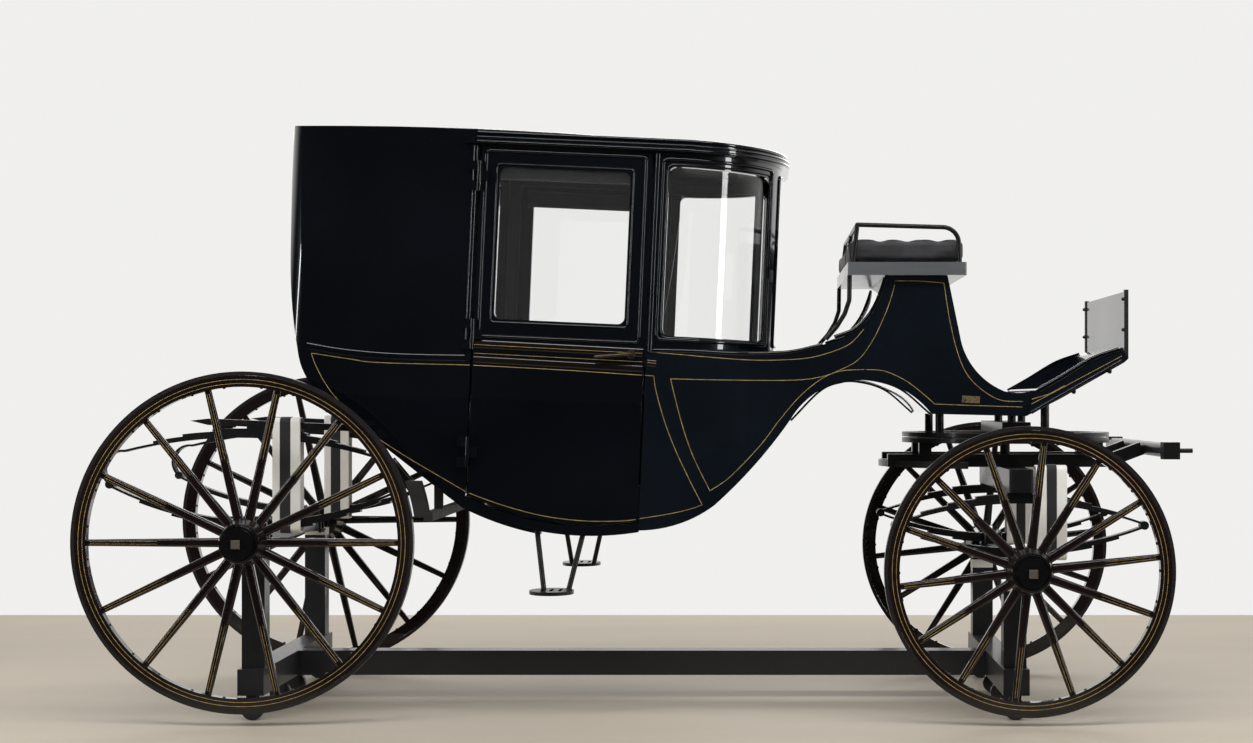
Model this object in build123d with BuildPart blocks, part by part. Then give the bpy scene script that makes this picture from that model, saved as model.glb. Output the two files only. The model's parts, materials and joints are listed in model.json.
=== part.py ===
from build123d import *
import math
import os

os.makedirs("parts", exist_ok=True)

# Wheels and stance
wheelbase = 2620.0
rear_wheel_radius = 570.0
front_wheel_radius = 485.0
rear_lift = 42.0
front_lift = 30.0
wheel_plane_y = 710.0
spoke_count = 14
rear_spoke_phase = 0.0
front_spoke_phase = 6.5
wheel_dish = 16.0
tyre_thickness = 13.0
tyre_width = 32.0
felloe_depth = 38.0
felloe_width = 34.0
spoke_rim_width = 22.0
spoke_rim_depth = 20.0
spoke_root_width = 32.0
spoke_root_depth = 34.0
spoke_tenon = 6.0
hub_root_radius = 78.0
hub_mouth_radius = 60.0
hub_band_radius = 66.0
hub_band_width = 14.0
hub_inner_length = 92.0
hub_outer_length = 72.0
cap_radius = 63.0
cap_thickness = 12.0
cap_nose_radius = 54.0
cap_nose_length = 26.0
cap_nose_sides = 6
cap_square = 30.0
cap_square_length = 10.0
arm_radius = 22.0
running_clearance = 0.4
hub_end_gap = 6.0

# Splinter bar and its reach, which with the rear wheel sets the overall length
splinter_ahead = 495.0
splinter_half_length = 600.0
splinter_depth = 56.0
splinter_height = 48.0
splinter_rounding = 17.0
splinter_end = 58.0
splinter_z = 915.0
hook_reach = 47.0
hook_radius = 8.0

shift_x = (rear_wheel_radius - splinter_ahead - splinter_depth / 2 - hook_reach) / 2
rear_axle_x = shift_x - wheelbase / 2
front_axle_x = shift_x + wheelbase / 2
rear_axle_z = rear_lift + rear_wheel_radius
front_axle_z = front_lift + front_wheel_radius

# Cabin, measured in its own frame, which leans nose down
body_pitch = 2.5
body_datum_z = 640.0
cabin_half_width = 590.0
cabin_back_x = -1240.0
cabin_front_x = 436.0
cabin_top_z = 1291.0
belt_z = 590.0
turn_under = 38.0
tumblehome = 14.0
wall = 32.0
rear_corner_radius = 90.0
front_corner_radius = 430.0
sill_z = 622.0
rocker_height = 40.0
overrun = 60.0
face_gap = 0.3

pitch = math.radians(body_pitch)
forward = Vector(math.cos(pitch), 0, -math.sin(pitch))
upward = Vector(math.sin(pitch), 0, math.cos(pitch))
across = Vector(0, 1, 0)


def body_point(x, y, z):
    """Point of the leaning body frame in the level frame."""
    return Vector(shift_x, 0, body_datum_z) + forward * x + across * y + upward * z


def side_plane(y=0.0):
    """Upright plane along the body, x forward and y up, facing the near side."""
    return Plane(origin=body_point(0, y, 0), x_dir=forward, z_dir=-across)


def plan_plane(z=0.0):
    """Plane of the body's floor at height z, x forward and y to the left."""
    return Plane(origin=body_point(0, 0, z), x_dir=forward, z_dir=upward)


def cross_plane(x=0.0):
    """Plane square to the body's length, x to the left and y up."""
    return Plane(origin=body_point(x, 0, 0), x_dir=across, z_dir=forward)


def level_side(y=0.0):
    """Upright plane along the running gear, x forward and y up."""
    return Plane(origin=(0, y, 0), x_dir=(1, 0, 0), z_dir=(0, -1, 0))


def add_bar(start, end, width, height, side=across):
    """Straight bar of rectangular section from start to end, width along side."""
    start = Vector(start)
    run = Vector(end) - start
    with BuildSketch(Plane(origin=start, x_dir=side, z_dir=run)) as section:
        Rectangle(width, height)
    extrude(section.sketch, amount=run.length)


def add_rod(start, end, radius):
    """Round rod from start to end."""
    start = Vector(start)
    run = Vector(end) - start
    with BuildSketch(Plane(origin=start, z_dir=run)) as section:
        Circle(radius)
    extrude(section.sketch, amount=run.length)


def add_block(low, high):
    """Level block between two opposite corners."""
    middle = [(a + b) / 2 for a, b in zip(low, high)]
    size = [b - a for a, b in zip(low, high)]
    with Locations(tuple(middle)):
        Box(*size)


def add_outline(plane, points, half_width):
    """Closed outline of points extruded both ways from its plane."""
    with BuildSketch(plane) as face:
        with BuildLine():
            Polyline(*points, close=True)
        make_face()
    extrude(face.sketch, amount=half_width, both=True)


def draw_rows(start, rows, length, height):
    """Lines and arcs of an outline: each row is one or two points as shares of length and height."""
    here = (start[0] * length, start[1] * height)
    for row in rows:
        points = [(a * length, b * height) for a, b in row]
        if len(points) == 1:
            Line(here, points[0])
        else:
            ThreePointArc(here, points[0], points[1])
        here = points[-1]


def save(part, name):
    """Label a finished piece and write it."""
    part.label = name
    export_step(part, f"parts/{name}.step")


# Side outline of the cabin below its top, as shares of its length and height from the body's datum
cabin_length = cabin_front_x - cabin_back_x
cabin_start_shares = (-0.740, 1.0)
cabin_row_shares = [
    [(-0.7315, 0.720)],
    [(-0.7214, 0.561), (-0.7041, 0.4415)],
    [(-0.6826, 0.3664), (-0.6396, 0.3083)],
    [(-0.3624, 0.050)],
    [(-0.1572, -0.017), (0.0432, 0.012)],
    [(0.1522, 0.071)],
    [(0.260, 0.43)],
]


def cabin_side_face(inset):
    """Side outline of the cabin with an open top, drawn in by inset."""
    top = cabin_top_z + 2 * overrun
    with BuildSketch(side_plane()) as face:
        with BuildLine():
            draw_rows(cabin_start_shares, cabin_row_shares, cabin_length, cabin_top_z)
            chin = (cabin_row_shares[-1][-1][0] * cabin_length, cabin_row_shares[-1][-1][1] * cabin_top_z)
            back = (cabin_start_shares[0] * cabin_length, cabin_top_z)
            Polyline(chin, (cabin_front_x, top), (back[0], top), back)
        make_face()
        if inset:
            offset(amount=-inset, kind=Kind.INTERSECTION, mode=Mode.REPLACE)
    return face.sketch


def cabin_plan_face(plane, inset):
    """Plan outline of the cabin: round rear corners and a round front."""
    half = cabin_half_width - inset
    back = cabin_back_x + inset
    front = cabin_front_x - inset
    rear_radius = rear_corner_radius - inset
    front_radius = front_corner_radius - inset
    bulge = math.sin(math.pi / 4)
    rear_mid = (back + rear_radius * (1 - bulge), half - rear_radius * (1 - bulge))
    front_mid = (front - front_radius * (1 - bulge), half - front_radius * (1 - bulge))
    with BuildSketch(plane) as face:
        with BuildLine() as outline:
            Line((back, 0), (back, half - rear_radius))
            ThreePointArc((back, half - rear_radius), rear_mid, (back + rear_radius, half))
            Line((back + rear_radius, half), (front - front_radius, half))
            ThreePointArc((front - front_radius, half), front_mid, (front, half - front_radius))
            Line((front, half - front_radius), (front, 0))
            mirror(outline.line, about=Plane.XZ)
        make_face()
    return face.sketch


def cabin_section_face(inset):
    """Cross section of the cabin: sides that lean in above the belt and tuck under below it."""
    half = cabin_half_width - inset
    low = -2 * overrun
    top = cabin_top_z + 2 * overrun
    upper = half - tumblehome * (top - belt_z) / (cabin_top_z - belt_z)
    drop = belt_z - low
    tuck = turn_under * (drop / belt_z) ** 2
    with BuildSketch(cross_plane(cabin_back_x - overrun)) as face:
        with BuildLine() as outline:
            Polyline((0, top), (upper, top), (half, belt_z))
            ThreePointArc((half, belt_z), (half - tuck / 4, belt_z - drop / 2), (half - tuck, low))
            Line((half - tuck, low), (0, low))
            mirror(outline.line, about=Plane.YZ)
        make_face()
    return face.sketch


def cabin_block(inset, top):
    """Solid of the cabin's outside drawn in by inset, up to the height top."""
    with BuildPart() as block:
        extrude(cabin_side_face(inset), amount=2 * cabin_half_width, both=True)
        plan = cabin_plan_face(plan_plane(-2 * overrun), inset)
        extrude(plan, amount=top + 2 * overrun, mode=Mode.INTERSECT)
        extrude(cabin_section_face(inset), amount=cabin_length + 2 * overrun, mode=Mode.INTERSECT)
    return block.part


def body_box(x_low, x_high, z_low, z_high, y_low=-2 * cabin_half_width, y_high=2 * cabin_half_width):
    """Box of the leaning body frame."""
    with BuildPart() as box:
        with BuildSketch(plan_plane(z_low)):
            with Locations(((x_low + x_high) / 2, (y_low + y_high) / 2)):
                Rectangle(x_high - x_low, y_high - y_low)
        extrude(amount=z_high - z_low)
    return box.part


outer_block = cabin_block(0, cabin_top_z)
inner_block = cabin_block(wall, cabin_top_z + overrun)
cabin_shell = outer_block - inner_block

# Doors: hinge line just outside the rear shut line, front shut line swept about it
door_back_x = -586.0
door_front_x = -6.0
door_gap = 7.0
hinge_proud = 8.0
hinge_x = door_back_x - door_gap / 2
hinge_y = cabin_half_width + hinge_proud
door_sweep = math.hypot(door_front_x - hinge_x, hinge_proud)

# Window openings: low and high x as shares of the cabin's length, low and high z as shares of its height
window_corner = 24.0
door_window_shares = (-0.310, -0.0465, 0.542, 0.942)
quarter_window_shares = (0.031, 0.234, 0.517, 0.962)
front_corner_reach = 354.0
front_window_half = cabin_half_width - front_corner_reach
back_window_half = 230.0
back_window_low = 800.0
back_window_high = 1130.0
quarter_low = quarter_window_shares[2] * cabin_top_z
quarter_high = quarter_window_shares[3] * cabin_top_z
glass_inset = 13.0
glass_thickness = 6.0
glass_clearance = 0.2

glass_outer = cabin_block(glass_inset, cabin_top_z)
glass_inner = cabin_block(glass_inset + glass_thickness, cabin_top_z + overrun)
glass_shell = glass_outer - glass_inner


def side_prism(window_shares, margin, side):
    """Rounded window prism across one half of the body: side is 1 on the left, -1 on the right."""
    x_low, x_high = (share * cabin_length for share in window_shares[:2])
    z_low, z_high = (share * cabin_top_z for share in window_shares[2:])
    with BuildPart() as prism:
        with BuildSketch(side_plane()) as face:
            with Locations(((x_low + x_high) / 2, (z_low + z_high) / 2)):
                RectangleRounded(x_high - x_low + 2 * margin, z_high - z_low + 2 * margin, window_corner)
        extrude(face.sketch, amount=-side * 2 * cabin_half_width)
    return prism.part


def cross_prism(half, z_low, z_high, margin, x_start, x_end):
    """Rounded window prism along the body, for the front and back lights."""
    with BuildPart() as prism:
        with BuildSketch(cross_plane(x_start)) as face:
            with Locations((0, (z_low + z_high) / 2)):
                RectangleRounded(2 * (half + margin), z_high - z_low + 2 * margin, window_corner)
        extrude(face.sketch, amount=x_end - x_start)
    return prism.part


def door_zone(margin, side):
    """Space of one door: inside the rocker line, behind the swept front shut line."""
    with BuildPart() as zone:
        extrude(cabin_side_face(rocker_height - margin), amount=-side * 2 * cabin_half_width)
        with BuildSketch(plan_plane(-2 * overrun)) as sweep_face:
            with Locations((hinge_x, side * hinge_y)):
                Circle(door_sweep + margin)
        extrude(sweep_face.sketch, amount=cabin_top_z + 2 * overrun - door_gap + margin, mode=Mode.INTERSECT)
    behind = body_box(cabin_back_x - overrun, door_back_x - margin, -2 * overrun, cabin_top_z + overrun)
    return zone.part - behind


sides = {"right": -1, "left": 1}

# Underbody: the curved bottom wall with the sills under the doors, up to the belt at the back
underbody_top = 560.0
with BuildPart() as underbody:
    add(cabin_shell)
    inside_face = cabin_side_face(rocker_height - door_gap)
    extrude(inside_face, amount=2 * cabin_half_width, both=True, mode=Mode.SUBTRACT)
    add(body_box(-2 * cabin_length, face_gap, -2 * overrun, underbody_top), mode=Mode.INTERSECT)
save(underbody.part, "underbody")

upper_shell = cabin_shell - underbody.part

# Hinge knuckles stand outside the rear shut line: frame knuckles with a pin, door knuckle between them
hinge_shares = [0.19, 0.50, 0.915]
knuckle_radius = 7.0
knuckle_length = 34.0
knuckle_gap = 0.6
pin_radius = 3.0
pin_clearance = 0.3
leaf_reach = 34.0
leaf_depth = 4.0
hinge_zs = [share * cabin_top_z for share in hinge_shares]


def add_knuckle(side, z, length, x_reach):
    """Knuckle on the hinge line with a leaf that reaches the body's side."""
    low = body_point(hinge_x, side * hinge_y, z - length / 2)
    add_rod(low, body_point(hinge_x, side * hinge_y, z + length / 2), knuckle_radius)
    x_low, x_high = sorted((hinge_x, hinge_x + x_reach))
    leaf_y = hinge_y + knuckle_radius - leaf_depth
    y_low, y_high = sorted((side * (cabin_half_width - turn_under), side * leaf_y))
    add(body_box(x_low, x_high, z - length / 2, z + length / 2, y_low, y_high))


def cut_pin_hole(side):
    """Bore for the hinge pin."""
    low = body_point(hinge_x, side * hinge_y, 0)
    with BuildSketch(Plane(origin=low, z_dir=upward)) as hole:
        Circle(pin_radius + pin_clearance)
    extrude(hole.sketch, amount=cabin_top_z, mode=Mode.SUBTRACT)


# Back panel with its small light, and the two closed rear quarters
back_split = 105.0
back_split_x = cabin_back_x + back_split
with BuildPart() as back_panel:
    add(upper_shell)
    add(body_box(-2 * cabin_length, back_split_x, underbody_top, cabin_top_z), mode=Mode.INTERSECT)
    start_x = cabin_back_x - overrun
    prism = cross_prism(back_window_half, back_window_low, back_window_high, 0, start_x, back_split_x)
    add(prism, mode=Mode.SUBTRACT)
save(back_panel.part, "back_panel")

for side_name, side in sides.items():
    y_low, y_high = sorted((0, side * 2 * cabin_half_width))
    with BuildPart() as rear_quarter:
        add(upper_shell)
        box = body_box(-2 * cabin_length, door_back_x - door_gap, -2 * overrun, cabin_top_z, y_low, y_high)
        add(box, mode=Mode.INTERSECT)
        add(body_box(-2 * cabin_length, back_split_x, underbody_top, cabin_top_z), mode=Mode.SUBTRACT)
        for z in hinge_zs:
            for end in (-1, 1):
                knuckle_z = z + end * (knuckle_length + knuckle_gap)
                add_knuckle(side, knuckle_z, knuckle_length - knuckle_gap, -leaf_reach)
        add(inner_block, mode=Mode.SUBTRACT)
        for z in hinge_zs:
            low = body_point(hinge_x, side * hinge_y, z - knuckle_length)
            add_rod(low, body_point(hinge_x, side * hinge_y, z + knuckle_length), pin_radius)
    save(rear_quarter.part, f"rear_quarter_{side_name}")

# Front frame: pillars, header and sill around the round front, above the boot
with BuildPart() as front_frame:
    add(upper_shell)
    add(body_box(door_front_x - overrun, 2 * cabin_length, sill_z, cabin_top_z), mode=Mode.INTERSECT)
    for side in sides.values():
        add(door_zone(door_gap, side), mode=Mode.SUBTRACT)
        add(side_prism(quarter_window_shares, 0, side), mode=Mode.SUBTRACT)
    add(
        cross_prism(front_window_half, quarter_low, quarter_high, 0, 0, cabin_front_x + overrun),
        mode=Mode.SUBTRACT,
    )
save(front_frame.part, "front_frame")

# Glass panes set in the wall
for side_name, side in sides.items():
    with BuildPart() as quarter_glass:
        add(glass_shell)
        add(side_prism(quarter_window_shares, -glass_clearance, side), mode=Mode.INTERSECT)
    save(quarter_glass.part, f"quarter_glass_{side_name}")

with BuildPart() as front_glass:
    add(glass_shell)
    prism = cross_prism(
        front_window_half, quarter_low, quarter_high, -glass_clearance, 0, cabin_front_x + overrun
    )
    add(prism, mode=Mode.INTERSECT)
save(front_glass.part, "front_glass")

with BuildPart() as back_glass:
    add(glass_shell)
    low, high = (back_window_low, back_window_high)
    prism = cross_prism(back_window_half, low, high, -glass_clearance, start_x, back_split_x)
    add(prism, mode=Mode.INTERSECT)
save(back_glass.part, "back_glass")

# Doors with their panes and lever handles
handle_x = -50.0
handle_z = 600.0
handle_length = 118.0
handle_drop = 14.0
handle_stand = 26.0
handle_radius = 6.0
handle_boss_radius = 16.0
for side_name, side in sides.items():
    with BuildPart() as door:
        add(upper_shell)
        add(door_zone(0, side), mode=Mode.INTERSECT)
        add(side_prism(door_window_shares, 0, side), mode=Mode.SUBTRACT)
        for z in hinge_zs:
            add_knuckle(side, z, knuckle_length, leaf_reach)
        add(inner_block, mode=Mode.SUBTRACT)
        cut_pin_hole(side)
    save(door.part, f"door_{side_name}")

    with BuildPart() as door_glass:
        add(glass_shell)
        add(side_prism(door_window_shares, -glass_clearance, side), mode=Mode.INTERSECT)
    save(door_glass.part, f"door_glass_{side_name}")

    with BuildPart() as handle:
        face_y = side * (cabin_half_width + face_gap)
        pivot = body_point(handle_x, face_y, handle_z)
        knuckle = body_point(handle_x, face_y + side * handle_stand, handle_z)
        tip = body_point(handle_x - handle_length, face_y + side * handle_stand, handle_z - handle_drop)
        add_rod(pivot, body_point(handle_x, face_y + side * handle_radius, handle_z), handle_boss_radius)
        add_rod(pivot, knuckle, handle_radius)
        add_rod(knuckle, tip, handle_radius)
        for place in (knuckle, tip):
            with Locations(place):
                Sphere(handle_radius)
    save(handle.part, f"door_handle_{side_name}")

# Roof: a shallow dome flush with the cabin, with a stepped cornice over the doors and round the front
roof_eave_z = 1340.0
roof_crown_z = 1378.0
roof_crown_x = -560.0
roof_camber_radius = 13000.0
roof_board = 34.0
roof_margin = 160.0
cornice_upper_x = -600.0
cornice_upper_reach = 14.0
cornice_lower_x = -642.0
cornice_lower_reach = 24.0
cornice_lower_height = 26.0
roof_sweep_angle = 16.0


def roof_dome(drop):
    """Solid under the roof's double curve: an arc across the body swung about a line far below it."""
    half = cabin_half_width + overrun
    rise = (roof_crown_z - roof_eave_z) * (half / cabin_half_width) ** 2
    crown = roof_crown_z - drop
    base = cabin_top_z - 2 * overrun
    plane = cross_plane(roof_crown_x)
    with BuildPart() as dome:
        with BuildSketch(plane) as arch:
            with BuildLine():
                ThreePointArc((-half, crown - rise), (0, crown), (half, crown - rise))
                Polyline((half, crown - rise), (half, base), (-half, base), (-half, crown - rise))
            make_face()
        centre = body_point(roof_crown_x, 0, roof_crown_z - roof_camber_radius)
        start = arch.sketch.rotate(Axis(centre, across), -roof_sweep_angle / 2)
        revolve(start, axis=Axis(centre, across), revolution_arc=roof_sweep_angle)
    return dome.part


roof_solid = roof_dome(0)
recess_half = cabin_half_width - roof_margin
with BuildPart() as roof_recess:
    add(roof_dome(roof_board))
    recess_back_x = cabin_back_x + roof_margin
    recess_front_x = cabin_front_x - roof_margin
    low_z = cabin_top_z - face_gap
    recess = body_box(recess_back_x, recess_front_x, low_z, roof_crown_z, -recess_half, recess_half)
    add(recess, mode=Mode.INTERSECT)

with BuildPart() as roof_edge:
    add(cabin_block(-cornice_upper_reach, roof_crown_z))
    add(body_box(cornice_upper_x, cabin_length, cabin_top_z, roof_crown_z + overrun), mode=Mode.INTERSECT)
    add(roof_solid, mode=Mode.INTERSECT)

with BuildPart() as cornice:
    add(cabin_block(-cornice_lower_reach, roof_crown_z))
    add(
        body_box(cornice_lower_x, cabin_length, cabin_top_z, cabin_top_z + cornice_lower_height),
        mode=Mode.INTERSECT,
    )

with BuildPart() as roof:
    above_cabin = body_box(-2 * cabin_length, 2 * cabin_length, cabin_top_z, roof_crown_z + overrun)
    add(cabin_block(0, roof_crown_z))
    add(above_cabin, mode=Mode.INTERSECT)
    add(roof_solid, mode=Mode.INTERSECT)
    add(roof_edge.part)
    add(cornice.part)
    add(roof_recess.part, mode=Mode.SUBTRACT)
save(roof.part, "roof")

# Boot: side outline from the door forward, as shares of its length and height
boot_length = 1340.0
boot_height = 912.0
boot_start_share = (0.0, 0.003)
boot_row_shares = [
    [(0.104, 0.036), (0.190, 0.110)],
    [(0.275, 0.243), (0.373, 0.439)],
    [(0.447, 0.557), (0.567, 0.607)],
    [(0.652, 0.578), (0.737, 0.485)],
    [(0.979, 0.492)],
    [(1.0, 0.592)],
    [(0.957, 0.579), (0.922, 0.583)],
    [(0.843, 0.662), (0.801, 0.788)],
    [(0.763, 1.010)],
    [(0.601, 1.0)],
    [(0.572, 0.868), (0.467, 0.737)],
    [(0.365, 0.703), (0.224, 0.693)],
    [(0.0, 0.685)],
]
boot_half_width = 440.0
boot_sweep_x = 350.0
boot_sweep_half = 505.0
boot_narrow_x = 720.0
boot_reach = 2 * boot_length
boot_sweep_mid_shares = (0.55, 0.32)
boot_hollow = 11.0


def boot_plan_face(plane):
    """Plan of the boot: as wide as the cabin at the door, sweeping in to the driver's box."""
    half = cabin_half_width
    with BuildSketch(plane) as face:
        with BuildLine() as outline:
            Line((face_gap, 0), (face_gap, half))
            sweep_end = (boot_sweep_x, boot_sweep_half)
            sweep_mid_x = boot_sweep_x * boot_sweep_mid_shares[0]
            sweep_mid_y = half - (half - boot_sweep_half) * boot_sweep_mid_shares[1]
            ThreePointArc((face_gap, half), (sweep_mid_x, sweep_mid_y), sweep_end)
            hollow_x = (boot_sweep_x + boot_narrow_x) / 2
            hollow_y = (boot_sweep_half + boot_half_width) / 2 - boot_hollow
            ThreePointArc(sweep_end, (hollow_x, hollow_y), (boot_narrow_x, boot_half_width))
            Polyline((boot_narrow_x, boot_half_width), (boot_reach, boot_half_width), (boot_reach, 0))
            mirror(outline.line, about=Plane.XZ)
        make_face()
    return face.sketch


def boot_side_face():
    """Side outline of the boot on the body's side plane."""
    with BuildSketch(side_plane()) as face:
        with BuildLine():
            draw_rows(boot_start_share, boot_row_shares, boot_length, boot_height)
            Line((0, boot_row_shares[-1][-1][1] * boot_height), (0, boot_start_share[1] * boot_height))
        make_face()
    return face.sketch


with BuildPart() as cabin_above_sill:
    add(cabin_block(-face_gap, cabin_top_z))
    add(body_box(0, 2 * cabin_length, sill_z, cabin_top_z), mode=Mode.INTERSECT)

with BuildPart() as boot:
    extrude(boot_side_face(), amount=2 * cabin_half_width, both=True)
    extrude(boot_plan_face(plan_plane(-2 * overrun)), amount=2 * boot_height, mode=Mode.INTERSECT)
    extrude(cabin_section_face(0), amount=2 * boot_reach, mode=Mode.INTERSECT)
    add(inner_block, mode=Mode.SUBTRACT)
    add(cabin_above_sill.part, mode=Mode.SUBTRACT)
    for side in sides.values():
        add(door_zone(door_gap, side), mode=Mode.SUBTRACT)
save(boot.part, "boot")

# Toe board: a sloping floor between two cheeks, running up from the boot to the dash
toe_outline_shares = [
    (0.980, 0.492),
    (1.065, 0.563),
    (1.225, 0.710),
    (1.236, 0.725),
    (1.219, 0.769),
    (1.138, 0.707),
    (1.063, 0.643),
    (1.001, 0.592),
]
toe_well_shares = [(1.009, 0.548), (1.194, 0.713), (1.194, 0.833), (1.009, 0.833)]
toe_half_width = 448.0
toe_cheek = 24.0
with BuildPart() as toe_board:
    outline = [(a * boot_length, b * boot_height) for a, b in toe_outline_shares]
    add_outline(side_plane(), outline, toe_half_width)
    well = [(a * boot_length, b * boot_height) for a, b in toe_well_shares]
    with BuildSketch(side_plane()) as well_face:
        with BuildLine():
            Polyline(*well, close=True)
        make_face()
    extrude(well_face.sketch, amount=toe_half_width - toe_cheek, both=True, mode=Mode.SUBTRACT)
save(toe_board.part, "toe_board")

# Dashboard: an upright panel between two posts that stand on the toe board
dash_x = 1677.0
dash_low_z = 1230.0
dash_high_z = 1468.0
dash_post = 15.0
dash_panel = 6.0
dash_half_width = 448.0
with BuildPart() as dashboard:
    for side in (-1, 1):
        post_y = side * (dash_half_width - dash_post / 2)
        add_bar((dash_x, post_y, dash_low_z), (dash_x, post_y, dash_high_z), dash_post, dash_post)
    add_block(
        (dash_x - dash_panel / 2, dash_post / 2 - dash_half_width, dash_low_z),
        (dash_x + dash_panel / 2, dash_half_width - dash_post / 2, dash_high_z - dash_panel),
    )
    add(toe_board.part, mode=Mode.SUBTRACT)
save(dashboard.part, "dashboard")

# Driver's seat: level board on the boot, cushion, and iron rail round the back and ends
seat_back_x = 715.0
seat_front_x = 1124.0
seat_z = 1516.5
seat_board = 45.0
seat_half_width = 480.0
seat_corner = 8.0
with BuildPart() as driver_seat_board:
    add_block((seat_back_x, -seat_half_width, seat_z), (seat_front_x, seat_half_width, seat_z + seat_board))
    fillet(driver_seat_board.edges().filter_by(Axis.Z), seat_corner)
save(driver_seat_board.part, "driver_seat_board")

cushion_height = 78.0
cushion_margin = 22.0
cushion_back_inset = 38.0
cushion_front_inset = 8.0
with BuildPart() as driver_cushion:
    cushion_low_z = seat_z + seat_board + face_gap
    cushion_half = seat_half_width - cushion_margin
    add_block(
        (seat_back_x + cushion_back_inset, -cushion_half, cushion_low_z),
        (seat_front_x - cushion_front_inset, cushion_half, cushion_low_z + cushion_height),
    )
    fillet(driver_cushion.edges().filter_by(Axis.Z), cushion_margin)
    fillet(driver_cushion.faces().sort_by(Axis.Z)[-1].edges(), cushion_margin)
save(driver_cushion.part, "driver_cushion")

rail_radius = 8.0
rail_back_z = 1690.0
rail_front_z = 1680.0
rail_foot_back_x = 733.0
rail_top_back_x = 748.0
rail_top_front_x = 1094.0
rail_foot_front_x = 1100.0
rail_bend = 55.0
with BuildPart() as seat_rail:
    foot_z = seat_z + seat_board + face_gap
    rail_y = seat_half_width - rail_radius
    for side in (-1, 1):
        back_top = (rail_top_back_x, side * rail_y, rail_back_z)
        add_rod((rail_foot_back_x, side * rail_y, foot_z), back_top, rail_radius)
        with BuildLine() as side_line:
            front_top = (rail_top_front_x, side * rail_y, rail_front_z)
            front_foot = (rail_foot_front_x, side * rail_y, foot_z)
            FilletPolyline(back_top, front_top, front_foot, radius=rail_bend)
        with BuildSketch(Plane(origin=side_line.line @ 0, z_dir=side_line.line % 0)) as rail_section:
            Circle(rail_radius)
        sweep(rail_section.sketch, path=side_line.line)
        with Locations(back_top):
            Sphere(rail_radius)
    add_rod((rail_top_back_x, -rail_y, rail_back_z), (rail_top_back_x, rail_y, rail_back_z), rail_radius)
    add_rod((rail_foot_back_x, 0, foot_z), (rail_top_back_x, 0, rail_back_z), rail_radius)
    add(driver_seat_board.part, mode=Mode.SUBTRACT)
save(seat_rail.part, "seat_rail")

# Two bent stays from under the seat board to the boot's ledge, places as shares of their height
stay_radius = 8.0
stay_y = 455.0
stay_height = 220.0
stay_inset = 7.0
stay_bend = 40.0
stay_shares = [(0.0, 0.0), (-0.005, -0.386), (-0.077, -0.60), (-0.20, -0.80), (-0.373, -1.0)]
with BuildPart() as seat_stays:
    for side in (-1, 1):
        with BuildLine() as stay_line:
            top_x = seat_back_x + stay_inset
            top_z = seat_z - face_gap
            top = Vector(top_x, side * stay_y, top_z)
            FilletPolyline(*[top + Vector(a, 0, b) * stay_height for a, b in stay_shares], radius=stay_bend)
        with BuildSketch(Plane(origin=stay_line.line @ 0, z_dir=stay_line.line % 0)) as stay_section:
            Circle(stay_radius)
        sweep(stay_section.sketch, path=stay_line.line)
save(seat_stays.part, "seat_stays")

# Passenger bench across the back of the cabin, its cushion and its backrest
room_gap = 1.0
room = cabin_block(wall + room_gap, cabin_top_z)
bench_z = 330.0
bench_board = 24.0
bench_front_x = -640.0
passenger_cushion_height = 105.0
backrest_depth = 85.0
backrest_high_z = 930.0
with BuildPart() as passenger_bench:
    add(room)
    seat_board_box = body_box(-2 * cabin_length, bench_front_x, bench_z - bench_board, bench_z)
    riser_box = body_box(bench_front_x - bench_board, bench_front_x, -2 * overrun, bench_z)
    add(seat_board_box + riser_box, mode=Mode.INTERSECT)
save(passenger_bench.part, "passenger_bench")

with BuildPart() as passenger_cushion:
    add(room)
    back_x = cabin_back_x + wall + backrest_depth + cushion_margin
    half = cabin_half_width - wall - cushion_margin
    low_z = bench_z + face_gap
    box = body_box(back_x, bench_front_x - face_gap, low_z, low_z + passenger_cushion_height, -half, half)
    add(box, mode=Mode.INTERSECT)
save(passenger_cushion.part, "passenger_cushion")

with BuildPart() as passenger_backrest:
    add(room)
    back_x = cabin_back_x + wall + 2 * face_gap
    front_x = cabin_back_x + wall + backrest_depth
    half = cabin_half_width - rear_corner_radius - cushion_margin
    box = body_box(back_x, front_x, bench_z + cushion_margin, backrest_high_z, -half, half)
    add(box, mode=Mode.INTERSECT)
save(passenger_backrest.part, "passenger_backrest")

# Steps hung below the doors
step_y = 640.0
step_tread_z = 436.0
step_tread = 12.0
step_length = 150.0
step_width = 190.0
step_slot_width = 12.0
step_strut_radius = 9.0
step_top_shares = (-0.21, -0.11)
step_tuck = 76.0
step_slots_pitch = 30.0
step_slot_length = 95.0
step_root_width = 63.0
step_x = -288.0
for side_name, side in sides.items():
    with BuildPart() as step:
        with BuildSketch(Plane.XY.offset(step_tread_z)):
            with Locations((shift_x + step_x, side * step_y)):
                Ellipse(step_length / 2, step_width / 2)
                with GridLocations(step_slots_pitch, 0, 3, 1):
                    SlotOverall(step_slot_length, step_slot_width, rotation=90, mode=Mode.SUBTRACT)
        extrude(amount=step_tread)
        root_y = side * (cabin_half_width - step_tuck)
        for share in step_top_shares:
            top_x = share * cabin_length
            root = body_point(top_x, root_y, 0)
            top = Vector(shift_x + top_x, root_y, root.Z + step_tread)
            knee_x = shift_x + (top_x + step_x) / 2
            knee = Vector(knee_x, side * (step_y - step_root_width), step_tread_z + step_tread / 2)
            add_rod(top, knee, step_strut_radius)
        add(outer_block, mode=Mode.SUBTRACT)
    save(step.part, f"step_{side_name}")

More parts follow.
